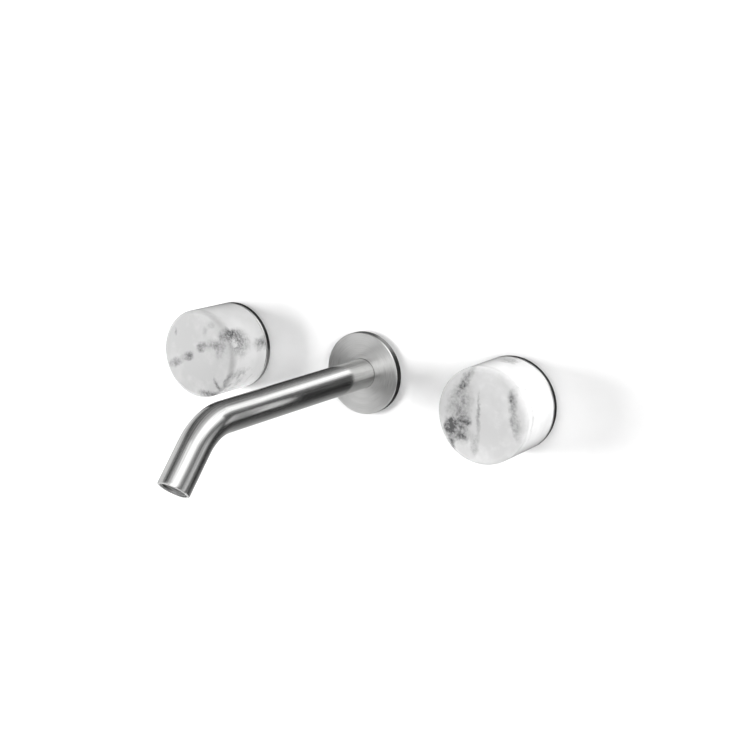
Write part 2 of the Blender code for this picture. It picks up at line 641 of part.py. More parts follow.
def make_knob(side, handle):
    """The stone knob, its steel hub, and the set screw that locks the hub to the spindle."""
    flange_radius, flange_front = 20 * MM, 7.4 * MM
    hub_back, hub_radius, hub_front = KNOB_BACK + 0.6 * MM, 9 * MM, 24 * MM
    access = {"parent": handle, "location": (0, 0, HUB_SCREW_HEIGHT), "rotation": DOWNWARD,
              "facets": SMALL_FACETS}
    outline = [(0, KNOB_FRONT)]
    fillet_steps = 3
    for step in range(fillet_steps + 1):
        angle = pi / 2 * (1 - step / fillet_steps)
        outline.append((KNOB_RADIUS - KNOB_FILLET * (1 - cos(angle)),
                        KNOB_FRONT - KNOB_FILLET * (1 - sin(angle))))
    outline += [
        (KNOB_RADIUS, KNOB_BACK + 0.5 * MM), (KNOB_RADIUS - 0.5 * MM, KNOB_BACK),
        (flange_radius + GAP, KNOB_BACK), (flange_radius + GAP, flange_front + GAP),
        (hub_radius + GAP, flange_front + GAP), (hub_radius + GAP, hub_front + GAP),
        (0, hub_front + GAP),
    ]
    knob = turned(f"{side}_knob", outline, MARBLE, facets=TRIM_FACETS, parent=handle)
    cut(knob, rod(f"{side}_screw_access", 2.6 * MM, hub_radius, KNOB_RADIUS + 1 * MM, **access))
    hub = turned(f"{side}_knob_hub",
                 [(0, hub_front), (hub_radius - 1 * MM, hub_front), (hub_radius, hub_front - 1 * MM),
                  (hub_radius, flange_front), (flange_radius, flange_front), (flange_radius, hub_back),
                  (0, hub_back)], STEEL, parent=handle)
    crest, root = SPLINE_RADIUS + GAP, SPLINE_RADIUS - SPLINE_TOOTH + GAP
    cut(hub, prism(f"{side}_hub_spline", [crest, root] * SPLINE_TEETH, hub_back - 1 * MM,
                   SPINDLE_TIP + 2 * MM, parent=handle))
    cut(hub, rod(f"{side}_hub_screw_hole", 2.3 * MM, 0, hub_radius + 1 * MM, **access))
    grub_screw(f"{side}_knob_screw", SPINDLE_RADIUS + 2 * GAP, hub_radius - 0.5 * MM, handle,
               HUB_SCREW_HEIGHT)


def make_handle_group(side, sign, opens):
    place = (sign * HANDLE_SPACING / 2, 0, 0)
    pivot = new_empty(f"{side}_valve_axis", WALL, place)
    handle = new_empty(f"{side}_handle_axis", WALL, place)
    make_valve_body(side, sign, pivot)
    make_cartridge(side, pivot)
    foot_angle = make_discs(side, opens, pivot, handle)
    make_spindle(side, handle, foot_angle)
    make_rosette(side, pivot)
    make_knob(side, handle)


def shade_pieces():
    """Smooth the round sides and keep the edges sharp."""
    for obj in FAUCET.objects:
        if obj.type == "MESH":
            obj.data.shade_smooth()
            obj.data.set_sharp_from_angle(angle=radians(35))


make_spout_tube()
make_spout_plate()
make_spout_adaptor()
make_aerator()
make_tee()
make_rail()
for side_name, (side_sign, opening_turn) in SIDES.items():
    make_link(side_name, side_sign)
    make_handle_group(side_name, side_sign, opening_turn)
shade_pieces()
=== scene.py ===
# %% [markdown]
# # A wall mounted bath faucet, finished in Blender
#
# The engineering model gives every sub-part its true size and place, but its round pieces are coarse.
# This lesson keeps that frame and makes the fine surface: polished marble knobs, a brushed spout bent
# along a path, round cover plates, and the brass, copper and steel works that sit behind the wall.
# Everything is in metres. The wall is the plane Y = 0, the room is on the -Y side, and +Z is up.

# %% Load the frame
import json
from math import ceil, cos, pi, radians, sin, tan

import bmesh
import bpy
from mathutils import Matrix, Vector

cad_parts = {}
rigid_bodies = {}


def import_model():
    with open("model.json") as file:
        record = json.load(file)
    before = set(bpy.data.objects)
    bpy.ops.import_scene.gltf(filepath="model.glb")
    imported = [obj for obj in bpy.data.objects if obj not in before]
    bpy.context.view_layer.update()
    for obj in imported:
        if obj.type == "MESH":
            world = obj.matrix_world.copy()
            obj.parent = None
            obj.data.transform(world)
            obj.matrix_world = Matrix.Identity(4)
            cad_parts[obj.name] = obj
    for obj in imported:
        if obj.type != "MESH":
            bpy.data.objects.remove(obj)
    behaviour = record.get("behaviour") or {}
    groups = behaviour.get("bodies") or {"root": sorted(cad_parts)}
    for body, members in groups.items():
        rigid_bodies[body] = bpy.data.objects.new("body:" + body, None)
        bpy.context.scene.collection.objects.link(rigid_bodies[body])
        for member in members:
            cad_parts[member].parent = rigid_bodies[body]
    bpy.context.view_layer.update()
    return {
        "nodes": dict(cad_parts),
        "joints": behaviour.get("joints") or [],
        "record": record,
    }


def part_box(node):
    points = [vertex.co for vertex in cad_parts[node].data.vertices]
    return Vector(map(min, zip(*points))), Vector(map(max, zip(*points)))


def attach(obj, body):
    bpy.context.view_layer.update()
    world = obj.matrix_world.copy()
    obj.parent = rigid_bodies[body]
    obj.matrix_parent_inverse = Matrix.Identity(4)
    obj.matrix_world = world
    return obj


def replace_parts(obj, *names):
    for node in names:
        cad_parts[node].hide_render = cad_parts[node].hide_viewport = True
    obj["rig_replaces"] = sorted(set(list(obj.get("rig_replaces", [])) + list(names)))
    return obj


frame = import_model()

MM = 0.001

# %% [markdown]
# ## The wall's own frame
#
# Nearly every piece is turned about a line that stands square on the wall. So it is easiest to draw
# them in the wall's own frame, with X to the right, Y up, and Z, here called the height, standing off
# the wall into the room. One matrix takes that frame to the world. The two handles have the same
# frame, moved along the wall to their joints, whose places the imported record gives.

# %% Frames for the pieces
WALL = Matrix.Rotation(pi / 2, 4, "X")
SIDES = {}
for joint in frame["joints"]:
    side = joint["name"].split("_")[0]
    SIDES[side] = joint["pos_m"][0]
AXES = {side: WALL @ Matrix.Translation((offset, 0, 0)) for side, offset in SIDES.items()}
FIXED = "fixed_works"
print("handle axes at", SIDES)


def reach(node):
    """The back and the front height of a node above the wall surface."""
    low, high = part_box(node)
    return -high.y, -low.y


def width(node):
    low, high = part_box(node)
    return high.x - low.x


KNOB_RADIUS = width("hot_knob") / 2
KNOB_BACK, KNOB_FRONT = reach("hot_knob")
ROSETTE_FRONT = reach("hot_rosette")[1]
PLATE_RADIUS = width("spout_plate") / 2
PLATE_FRONT = reach("spout_plate")[1]
TUBE_RADIUS = width("spout_tube") / 2
TUBE_START = reach("spout_tube")[0]
CLEARANCE = 0.3 * MM
print("knob", round(KNOB_RADIUS / MM, 2), "plate", round(PLATE_RADIUS / MM, 2),
      "tube", round(TUBE_RADIUS / MM, 2))

# %% [markdown]
# ## The camera
#
# The faucet is seen from its right, a little from above, through a long lens, so that the round
# pieces show both their fronts and their sides. The camera is placed by its direction from the
# origin, its distance along the line of sight, and a small sideways offset, and it leans slightly.

# %% Place the camera
VIEW_AZIMUTH = radians(32.3)
VIEW_ELEVATION = radians(14.1)
VIEW_ROLL = radians(3.2)
VIEW_DISTANCE = 0.846
VIEW_OFFSET = (-5.47 * MM, 1.74 * MM)  # of the origin from the middle of the view, right and up

forward = Vector((-sin(VIEW_AZIMUTH) * cos(VIEW_ELEVATION), cos(VIEW_AZIMUTH) * cos(VIEW_ELEVATION),
                  -sin(VIEW_ELEVATION)))
level_right = Vector((cos(VIEW_AZIMUTH), sin(VIEW_AZIMUTH), 0))
level_up = level_right.cross(forward)
right = cos(VIEW_ROLL) * level_right + sin(VIEW_ROLL) * level_up
up = cos(VIEW_ROLL) * level_up - sin(VIEW_ROLL) * level_right
eye = -(VIEW_OFFSET[0] * right + VIEW_OFFSET[1] * up + VIEW_DISTANCE * forward)
camera = bpy.data.objects.new("camera", bpy.data.cameras.new("camera"))
bpy.context.scene.collection.objects.link(camera)
camera.data.lens = 67.2
camera.matrix_world = Matrix.Translation(eye) @ Matrix((right, up, -forward)).transposed().to_4x4()
bpy.context.scene.camera = camera
print("camera at", [round(value, 3) for value in eye])

# %% [markdown]
# ## Nodes in one line each
#
# Materials, the sky and Geometry Nodes are all node trees. One small helper adds a node, sets its
# properties, and gives each input a plain value or a link from another node. Three more wrap the
# nodes that are used most: sums, a change of range, and a row of colours.

# %% Node helpers


def add(tree, kind, inputs=None, **settings):
    """Add a node. Each input takes a value, or a link when it is given a node or its socket."""
    node = tree.nodes.new(kind)
    for name, value in settings.items():
        setattr(node, name, value)
    for key, value in (inputs or {}).items():
        if isinstance(value, bpy.types.Node):
            value = value.outputs[0]
        if isinstance(value, bpy.types.NodeSocket):
            tree.links.new(value, node.inputs[key])
        else:
            node.inputs[key].default_value = value
    return node


def calc(tree, operation, *values):
    return add(tree, "ShaderNodeMath", dict(enumerate(values)), operation=operation).outputs[0]


def vector_calc(tree, operation, *values):
    inputs = {"Scale": values[1], 0: values[0]} if operation == "SCALE" else dict(enumerate(values))
    node = add(tree, "ShaderNodeVectorMath", inputs, operation=operation)
    return node.outputs["Value" if operation in {"LENGTH", "DOT_PRODUCT"} else "Vector"]


def remap(tree, value, low, high, to_low=0.0, to_high=1.0, curve="LINEAR"):
    return add(tree, "ShaderNodeMapRange", {"Value": value, "From Min": low, "From Max": high,
                                            "To Min": to_low, "To Max": to_high},
               interpolation_type=curve).outputs[0]


def colours(tree, factor, *stops):
    """A colour for each place between 0 and 1, from stops of (place, colour)."""
    node = add(tree, "ShaderNodeValToRGB", {"Fac": factor})
    elements = node.color_ramp.elements
    while len(elements) < len(stops):
        elements.new(0.5)
    for element, (place, colour) in zip(elements, stops):
        element.position = place
        element.color = (*colour, 1)
    return node.outputs["Color"]


def noise(tree, place, scale, detail=3.0, roughness=0.55):
    return add(tree, "ShaderNodeTexNoise", {"Vector": place, "Scale": scale, "Detail": detail,
                                            "Roughness": roughness}).outputs[0]


def object_place(tree, offset=(0, 0, 0), scale=(1, 1, 1)):
    """The point on the piece in metres, moved so that the offset is at 0, and then scaled."""
    place = add(tree, "ShaderNodeTexCoord").outputs["Object"]
    moved = vector_calc(tree, "SUBTRACT", place, offset)
    return add(tree, "ShaderNodeMapping", {"Vector": moved, "Scale": scale}).outputs[0]


def new_finish(name, **shader_values):
    """A material with one Principled shader, whose uniform values are set on its own sockets."""
    material = bpy.data.materials.new(name)
    material.use_nodes = True
    tree = material.node_tree
    shader = tree.nodes["Principled BSDF"]
    for key, value in shader_values.items():
        shader.inputs[key.replace("_", " ")].default_value = value
    return material, tree, shader


def plug(tree, shader, **sources):
    for key, source in sources.items():
        tree.links.new(source, shader.inputs[key.replace("_", " ")])


def bump(tree, height, distance, strength=1.0):
    return add(tree, "ShaderNodeBump", {"Height": height, "Distance": distance,
                                        "Strength": strength}).outputs[0]


# %% [markdown]
# ## The studio
#
# The set is a white wall board on a pale floor. The board has round holes where the valves and the
# spout pass through, as a tiled wall does, so from behind the works are seen in front of it. Three
# soft lamps stand in front, to the left, to the right and above, and a fourth lights the back. The
# sky holds long soft strips of light and dark that run along the spout, because brushed steel only
# looks like steel when it has both to reflect. The board is left out of those reflections. In its
# place a glowing striped card, which only mirrors can see, carries the same strips, fanned out round
# the root of the spout.

# %% Floor, wall board, lamps and sky
WALL_HALF_WIDTH = 0.55
FLOOR_LEVEL = -0.45
BOARD_DEPTH = 12 * MM
VALVE_HOLE = 19 * MM
SPOUT_HOLE = 16 * MM
CARD_HALF = 0.2
FLOOR_HALF, FLOOR_THICKNESS = 3, 20 * MM
EVEN_SKY, SEEN_SKY = 0.15, 0.85


def link_object(name, data):
    obj = bpy.data.objects.new(name, data)
    bpy.context.scene.collection.objects.link(obj)
    return obj


def mesh_from(shape, name, matrix=Matrix.Identity(4)):
    mesh = bpy.data.meshes.new(name)
    bmesh.ops.transform(shape, matrix=matrix, verts=shape.verts)
    shape.to_mesh(mesh)
    shape.free()
    return mesh


def cuboid(low, high):
    shape = bmesh.new()
    bmesh.ops.create_cube(shape, size=1)
    size = Vector(high) - Vector(low)
    bmesh.ops.transform(shape, matrix=Matrix.Diagonal((*size, 1)), verts=shape.verts)
    bmesh.ops.translate(shape, vec=(Vector(low) + Vector(high)) / 2, verts=shape.verts)
    return shape


def frozen(obj):
    """Replace an object's mesh by its evaluated one, and drop the modifiers that made it."""
    graph = bpy.context.evaluated_depsgraph_get()
    mesh = bpy.data.meshes.new_from_object(obj.evaluated_get(graph), preserve_all_data_layers=True,
                                           depsgraph=graph)
    obj.modifiers.clear()
    obj.data = mesh
    return obj


def carve(obj, *tools, operation="DIFFERENCE"):
    """Cut meshes away from an object, or join them to it, one after the other."""
    helpers = []
    for tool in tools:
        helper = link_object("carving_tool", tool)
        boolean = obj.modifiers.new("carve", "BOOLEAN")
        boolean.operation, boolean.object, boolean.solver = operation, helper, "EXACT"
        helpers.append(helper)
    frozen(obj)
    for helper in helpers:
        bpy.data.objects.remove(helper)
    return obj


def lathe(outline, segments=160):
    """A closed shape turned about the height axis from (radius, height) points.

    The outline is closed into a ring unless it starts and ends on the axis.
    """
    shape = bmesh.new()
    points = [shape.verts.new((radius, 0, height)) for radius, height in outline]
    is_ring = outline[0][0] > 0
    edges = [shape.edges.new(pair) for pair in zip(points, points[1:] + (points[:1] if is_ring else []))]
    bmesh.ops.spin(shape, geom=points + edges, axis=(0, 0, 1), cent=(0, 0, 0), angle=2 * pi,
                   steps=segments, use_merge=True)
    bmesh.ops.remove_doubles(shape, verts=shape.verts, dist=0.001 * MM)
    bmesh.ops.recalc_face_normals(shape, faces=shape.faces)
    return shape


def rod(radius, low, high, segments=64, chamfer=0.0):
    if not chamfer:
        return lathe([(0, high), (radius, high), (radius, low), (0, low)], segments)
    return lathe([(0, high), (radius - chamfer, high), (radius, high - chamfer),
                  (radius, low + chamfer), (radius - chamfer, low), (0, low)], segments)


board = link_object("wall_board", mesh_from(
    cuboid((-WALL_HALF_WIDTH, 0, FLOOR_LEVEL), (WALL_HALF_WIDTH, BOARD_DEPTH, -FLOOR_LEVEL)),
    "wall_board"))
carve(board, *[mesh_from(rod(VALVE_HOLE, -2 * BOARD_DEPTH, BOARD_DEPTH), "hole", axis)
               for axis in AXES.values()],
      mesh_from(rod(SPOUT_HOLE, -2 * BOARD_DEPTH, BOARD_DEPTH), "hole", WALL))
board.visible_glossy = False
floor = link_object("floor", mesh_from(
    cuboid((-FLOOR_HALF, -FLOOR_HALF, FLOOR_LEVEL - FLOOR_THICKNESS), (FLOOR_HALF, FLOOR_HALF, FLOOR_LEVEL)),
    "floor"))

for stage_piece, shade in ((board, 0.9), (floor, 0.8)):
    paint, tree, shader = new_finish(stage_piece.name + "_paint", Roughness=0.9, Specular_IOR_Level=0.1)
    grain = noise(tree, object_place(tree), 60)
    plug(tree, shader, Base_Color=colours(tree, grain, (0.3, [shade - 0.012] * 3), (0.7, [shade] * 3)),
         Normal=bump(tree, grain, 0.2 * MM, 0.3))
    stage_piece.data.materials.append(paint)

LAMPS = {  # place, size and power in watts
    "left_lamp": ((-0.75, -0.6, -0.07), 0.4, 10.0),
    "right_lamp": ((0.8, -0.42, 0.3), 0.45, 6.6),
    "upper_lamp": ((0.0, -0.4, 0.9), 0.6, 3.0),
    "back_lamp": ((-0.35, 0.8, 0.5), 0.6, 14.0),
}
for name, (place, size, power) in LAMPS.items():
    lamp = bpy.data.lights.new(name, "AREA")
    lamp.size, lamp.energy = size, power
    lamp_object = link_object(name, lamp)
    lamp_object.location = place
    lamp_object.rotation_euler = (-Vector(place)).to_track_quat("-Z", "Y").to_euler()
    lamp_object.visible_camera = False
    lamp_object.visible_glossy = False

# The sky behind and beside the faucet: the angle up from the right, and the brightness there.
BEHIND_STRIPS = [
    (-180, 0.9), (-150, 1.1), (-132, 0.7), (-100, 0.40), (-78, 0.30), (-60, 0.16), (-44, 0.06),
    (-20, 0.02), (-2, 0.05), (6, 0.07), (9.5, 0.16), (13, 0.08), (31, 0.11), (42, 0.4), (53, 1.8),
    (72, 1.8), (85, 0.52), (110, 0.22), (138, 0.08), (168, 0.01), (180, 0.2),
]
BESIDE_STRIPS = [
    (-180, 0.9), (-130, 0.9), (-60, 0.6), (-35, 0.5), (-24, 0.22), (-14, 0.25), (-5, 0.85), (3, 0.8),
    (11, 0.35), (18, 0.14), (25, 0.35), (33, 1.2), (42, 2.1), (62, 2.1), (74, 1.2), (87, 0.6),
    (103, 0.36), (119, 0.2), (135, 0.08), (143, 0.25), (156, 0.95), (172, 0.95), (180, 0.9),
]
# The sky in front: how far to the right, from -1 to 1, and the brightness there.
FRONT_STRIPS = [(-1.0, 0.8), (-0.74, 1.2), (-0.61, 1.6), (-0.45, 1.6), (-0.35, 0.7), (-0.12, 0.8),
                (0.1, 2.1), (0.5, 2.1), (1.0, 0.6)]
BRIGHTEST = 2.1


def grey_strips(tree, value, low, high, strips):
    """Grey strips along a value that runs from low to high, as shares of the brightest one."""
    return colours(tree, remap(tree, value, low, high), *[
        ((place - low) / (high - low), [level / BRIGHTEST] * 3) for place, level in strips])


def turn_about_spout(tree, place):
    """The angle of a place or a direction up from the right, in degrees."""
    parts = add(tree, "ShaderNodeSeparateXYZ", {0: place})
    return calc(tree, "DEGREES", calc(tree, "ARCTAN2", parts.outputs["Z"], parts.outputs["X"]))


card = link_object("striped_card", mesh_from(
    cuboid((-CARD_HALF, BOARD_DEPTH / 2, -CARD_HALF), (CARD_HALF, BOARD_DEPTH / 2 + MM, CARD_HALF)),
    "striped_card"))
card.visible_camera = card.visible_diffuse = card.visible_shadow = card.visible_transmission = False
glow, tree, shader = new_finish("striped_card_glow", Emission_Strength=BRIGHTEST, Roughness=1.0)
shader.inputs["Base Color"].default_value = (0, 0, 0, 1)
turn = turn_about_spout(tree, object_place(tree))
plug(tree, shader, Emission_Color=grey_strips(tree, turn, -180, 180, BEHIND_STRIPS))
card.data.materials.append(glow)

world = bpy.data.worlds.new("soft_sky")
bpy.context.scene.world = world
world.use_nodes = True
# With no sampling of the sky as a light, mirrors see only the strips and the rest only the even sky.
world.cycles.sampling_method = "NONE"
sky = world.node_tree
direction = add(sky, "ShaderNodeTexCoord").outputs["Generated"]
forwards = add(sky, "ShaderNodeSeparateXYZ", {0: direction})
turn = turn_about_spout(sky, direction)
depth_shares = {"behind": (0.4, 0.8), "front": (-0.55, -0.72)}
shares = {name: remap(sky, forwards.outputs["Y"], *ends) for name, ends in depth_shares.items()}
around = add(sky, "ShaderNodeMix", {0: shares["behind"],
                                    6: grey_strips(sky, turn, -180, 180, BESIDE_STRIPS),
                                    7: grey_strips(sky, turn, -180, 180, BEHIND_STRIPS)},
             data_type="RGBA")
strips = add(sky, "ShaderNodeMix", {0: shares["front"], 6: around.outputs[2],
                                    7: grey_strips(sky, forwards.outputs["X"], -1, 1, FRONT_STRIPS)},
             data_type="RGBA").outputs[2]
even_sky = add(sky, "ShaderNodeBackground", {"Color": (1, 1, 1, 1), "Strength": EVEN_SKY})
striped_sky = add(sky, "ShaderNodeBackground", {"Color": strips, "Strength": BRIGHTEST})
shown_sky = add(sky, "ShaderNodeMixShader", {0: add(sky, "ShaderNodeLightPath").outputs["Is Glossy Ray"],
                                             1: even_sky, 2: striped_sky})
seen_sky = add(sky, "ShaderNodeBackground", {"Color": (1, 1, 1, 1), "Strength": SEEN_SKY})
lit_or_seen = add(sky, "ShaderNodeMixShader", {0: add(sky, "ShaderNodeLightPath").outputs["Is Camera Ray"],
                                               1: shown_sky, 2: seen_sky})
sky.links.new(lit_or_seen.outputs[0], sky.nodes["World Output"].inputs["Surface"])
bpy.context.scene.view_settings.view_transform = "Standard"
print("stage of", len(LAMPS), "lamps and", len(BEHIND_STRIPS) + len(BESIDE_STRIPS), "sky strips")

# %% [markdown]
# ## Outlines with rounded corners
#
# No real edge is perfectly sharp. A machined edge has a small chamfer or a radius of a few tenths of
# a millimetre, and that thin line catches the light. So each turned outline is given as corners with
# a fillet radius, and a helper replaces each corner by a short arc before the outline is turned.

# %% Rounded outlines and finished pieces


def rounded(corners, steps=5):
    """Points of a closed outline of (radius, height, fillet) corners."""
    points = []
    for number, (radius, height, fillet) in enumerate(corners):
        corner = Vector((radius, height))
        if not fillet:
            points.append(corner)
            continue
        before = (Vector(corners[number - 1][:2]) - corner).normalized()
        after = (Vector(corners[(number + 1) % len(corners)][:2]) - corner).normalized()
        half = before.angle(after) / 2
        centre = corner + (before + after).normalized() * fillet / sin(half)
        start = corner + before * fillet / tan(half) - centre
        end = corner + after * fillet / tan(half) - centre
        sweep = start.angle(end)
        for step in range(steps + 1):
            share = step / steps
            spoke = start * sin((1 - share) * sweep) + end * sin(share * sweep)
            points.append(centre + spoke / sin(sweep))
    return [tuple(point) for point in points]


def finish_piece(obj, finish, body, slot, *nodes, crease=35):
    """Smooth the round sides, give the piece its finish, and fasten it to its body."""
    obj.data.materials.clear()
    obj.data.materials.append(finish)
    obj.data.shade_smooth()
    obj.data.set_sharp_from_angle(angle=radians(crease))
    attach(obj, body)
    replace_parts(obj, *nodes)
    print(f"{obj.name}: {len(obj.data.polygons)} faces")
    return obj


# %% [markdown]
# ## Marble
#
# The knobs are turned from white marble and polished. The stone is nearly white, a little cloudy, and
# grey veins run through it as bent sheets, so a vein that crosses the front goes on down the side.
# Each vein is drawn as a sheet in the knob's own space: a plane at a chosen place and slant, warped by
# noise, that fades across its thickness and towards its ends. Finer noise breaks it into the dark
# crystals and grey clouds that real veins are made of.

# %% The marble finish
PAINTED_LIGHT_DEPTH = 6 * MM  # from the knob's front to where the painted light of the sides is full
VEIN_GREY = (0.10, 0.10, 0.102)
WARP = 6 * MM


def vein(tree, stone, middle, heading, size, strength, depth=30, height=38):
    """How strongly one vein shows. Its middle and size (length, thickness) are in millimetres on the
    knob's face, its heading in degrees up from the right, and it fades over the depth."""
    x, y = middle
    length, thickness = size
    moved = vector_calc(tree, "SUBTRACT", stone, (x * MM, -height * MM, y * MM))
    turned = add(tree, "ShaderNodeVectorRotate", {"Vector": moved, "Angle": radians(heading)},
                 rotation_type="Y_AXIS")
    scaled = vector_calc(tree, "MULTIPLY", turned,
                         (1 / (length / 2 * MM), 1 / (depth * MM), 1 / (thickness / 2 * MM)))
    return remap(tree, vector_calc(tree, "LENGTH", scaled), 1.35, 0.2, 0, strength, "SMOOTHSTEP")


def marble(name, axis_x, shaded_front_white, lit_side_white, veins):
    """Polished stone, painted a darker white on its front and a lighter white on its sides, as painted shade
    and light.
    """
    material, tree, shader = new_finish(name, IOR=1.5, Specular_IOR_Level=0.55)
    stone = object_place(tree, (axis_x, 0, 0))
    drift = add(tree, "ShaderNodeTexNoise", {"Vector": stone, "Scale": 170.0, "Detail": 4.0,
                                             "Roughness": 0.6}).outputs["Color"]
    centred = vector_calc(tree, "SUBTRACT", drift, (0.5, 0.5, 0.5))
    warped = vector_calc(tree, "ADD", stone, vector_calc(tree, "MULTIPLY", centred, [WARP] * 3))
    crystals = noise(tree, stone, 480, 5.0, 0.68)
    total = None
    for values in veins:
        shown = vein(tree, warped, *values)
        total = shown if total is None else calc(tree, "ADD", total, shown)
    ragged = calc(tree, "MULTIPLY", total, remap(tree, crystals, 0.32, 0.64, 0.35, 1.15))
    shown = remap(tree, ragged, 0.06, 1.0)
    depth = calc(tree, "ADD", add(tree, "ShaderNodeSeparateXYZ", {0: warped}).outputs["Y"], KNOB_FRONT)
    # Painted light: over this depth the colour goes from a shaded white on the front to a lit white on the
    # sides.
    painted_side_light = remap(tree, depth, 0, PAINTED_LIGHT_DEPTH, 0, 0.85)
    clouds = remap(tree, noise(tree, stone, 60, 3.0, 0.5), 0.35, 0.65, -0.15, 0.15)
    clouds_and_painted_light = calc(tree, "ADD", painted_side_light, clouds)
    base = colours(tree, clouds_and_painted_light, (0, [shaded_front_white] * 3), (1, [lit_side_white] * 3))
    mixed = add(tree, "ShaderNodeMix", {0: shown, 6: base, 7: (*VEIN_GREY, 1)}, data_type="RGBA")
    sparkle = noise(tree, stone, 2500, 2.0, 0.5)
    plug(tree, shader, Base_Color=mixed.outputs[2],
         Roughness=remap(tree, shown, 0, 1, 0.12, 0.24),
         Normal=bump(tree, calc(tree, "ADD", calc(tree, "MULTIPLY", shown, 0.6), sparkle), 0.004 * MM, 0.5))
    return material


HOT_VEINS = [  # middle, heading, (length, thickness), strength, and where needed depth and height
    ((-18.0, -8.7), 20, (11, 6), 0.55),
    ((-13.0, -5.0), 25, (18, 7), 0.28),
    ((-6.3, -2.3), 30, (9, 6.5), 0.95),
    ((2.8, 5.0), 35, (9, 6), 0.75),
    ((11.3, 7.9), 20, (13, 8), 0.48),
    ((17.5, 7.0), 80, (14, 9), 0.42),
    ((21.8, 16.0), 15, (13, 7), 0.75, 9, 36),
    ((25.5, 11.5), 75, (21, 16), 0.62, 10, 29),
    ((27.0, 7.0), 80, (9, 9), 0.75, 8, 8),
    ((-18.6, 11.0), 85, (6, 3), 0.5),
    ((5.5, 15.5), 60, (9, 5), 0.3),
    ((10.8, 20.2), 20, (7, 4), 0.3),
    ((10.5, -23.6), 4, (20, 6), 0.95),
    ((16.4, -16.5), -65, (11, 3), 0.8),
    ((23.0, -13.0), 58, (17, 2), 0.6),
    ((24.0, -13.0), 62, (18, 3), 0.16, 10, 26),
    ((21.0, 6.0), 50, (34, 26), 0.18, 20, 30),
    ((25.2, 10.5), -67, (11, 1.0), -0.8, 3, 34),
]
COLD_VEINS = [
    ((-10.5, 18.5), 62, (20, 6), 0.72),
    ((-16.0, 6.0), 75, (26, 12), 0.50),
    ((-10.0, 3.0), 80, (30, 10), 0.44),
    ((-13.0, -9.0), 70, (20, 17), 0.62),
    ((-18.5, -9.4), 80, (11, 8), 0.95),
    ((-7.2, -5.0), 60, (7, 6), 0.6),
    ((-11.0, -13.5), 20, (10, 5), 0.5),
    ((-16.5, -19.0), -60, (11, 4.5), 0.75),
    ((-1.2, 1.8), 92, (26, 2.6), 0.62),
    ((-2.4, -16.5), 92, (14, 6), 0.5),
    ((18.2, 13.5), 85, (12, 7), 0.62),
    ((21.0, 1.5), 104, (27, 6.5), 0.58),
    ((26.0, 4.0), 95, (26, 26), 0.32, 1.6, 29.5),
    ((1.5, 27.3), 5, (16, 4), 0.5, 8, 12),
]
FINISHES = {
    # The hot knob's whites are set darker than the cold knob's: painted shade, a less lit copy of the same
    # stone.
    "hot_marble": marble("hot_marble", SIDES["hot"], 0.43, 0.66, HOT_VEINS),
    "cold_marble": marble("cold_marble", SIDES["cold"], 0.58, 0.90, COLD_VEINS),
}
print(len(HOT_VEINS), "veins in the hot knob and", len(COLD_VEINS), "in the cold one")

# %% [markdown]
# ## Brushed steel
#
# Brushed stainless steel is covered in fine parallel scratches. They do two things: they tint the
# metal in thin light and dark lines, and they smear a reflection sideways across the scratches. The
# smear is the shader's anisotropy, and it needs the direction in which the scratches spread the
# light. On the round plates the scratches are circles, so that direction points away from the
# middle. On the tube they run lengthwise, so it points round the tube.

# %% The steel finishes
PLATE_ROUGH, TUBE_ROUGH = 0.34, 0.17


def scratched_steel(material, tree, shader, scratches, tangent, tint, rough, shade=1.0):
    """Wire the parts that every brushed surface shares: thin lines, uneven polish and a fine relief, and
    scale the colour by a painted shade where one is given.
    """
    wear = noise(tree, object_place(tree), 45, 3.0)
    lines = calc(tree, "ADD", calc(tree, "MULTIPLY", scratches, 0.8), calc(tree, "MULTIPLY", wear, 0.2))
    dark = [channel * 0.72 for channel in tint]
    light = [min(1, channel * 1.18) for channel in tint]
    colour = vector_calc(tree, "SCALE", colours(tree, lines, (0.34, dark), (0.66, light)), shade)
    plug(tree, shader, Base_Color=colour,
         Roughness=remap(tree, lines, 0.3, 0.7, rough - 0.05, rough + 0.07),
         Normal=bump(tree, scratches, 0.006 * MM, 0.35), Tangent=tangent)
    return material


def circular_steel(name, axis_x, tint=(0.60, 0.60, 0.595)):
    """Steel brushed in circles about an axis that stands on the wall."""
    material, tree, shader = new_finish(name, Metallic=1.0, Anisotropic=0.85)
    place = object_place(tree, (axis_x, 0, 0))
    flat = vector_calc(tree, "MULTIPLY", place, (1, 0, 1))
    outward = vector_calc(tree, "NORMALIZE", flat)
    normal = add(tree, "ShaderNodeNewGeometry").outputs["Normal"]
    along = vector_calc(tree, "CROSS_PRODUCT", outward, (0, 1, 0))
    across = vector_calc(tree, "CROSS_PRODUCT", along, normal)
    facing = add(tree, "ShaderNodeSeparateXYZ", {0: normal}).outputs["Y"]
    # Painted shade: the colour darkens to a quarter where the surface turns away from the front, so the rims
    # read as in shadow.
    painted_rim_shade = remap(tree, calc(tree, "ABSOLUTE", facing), 0.1, 0.6, 0.25, 1.0)
    radius = vector_calc(tree, "LENGTH", flat)
    rings = add(tree, "ShaderNodeCombineXYZ", {"X": calc(tree, "MULTIPLY", radius, 5200.0)})
    arc = vector_calc(tree, "ADD", vector_calc(tree, "SCALE", outward, 2.2), rings.outputs[0])
    return scratched_steel(material, tree, shader, noise(tree, arc, 1.0, 3.0, 0.6),
                           vector_calc(tree, "NORMALIZE", across), tint, PLATE_ROUGH, painted_rim_shade)


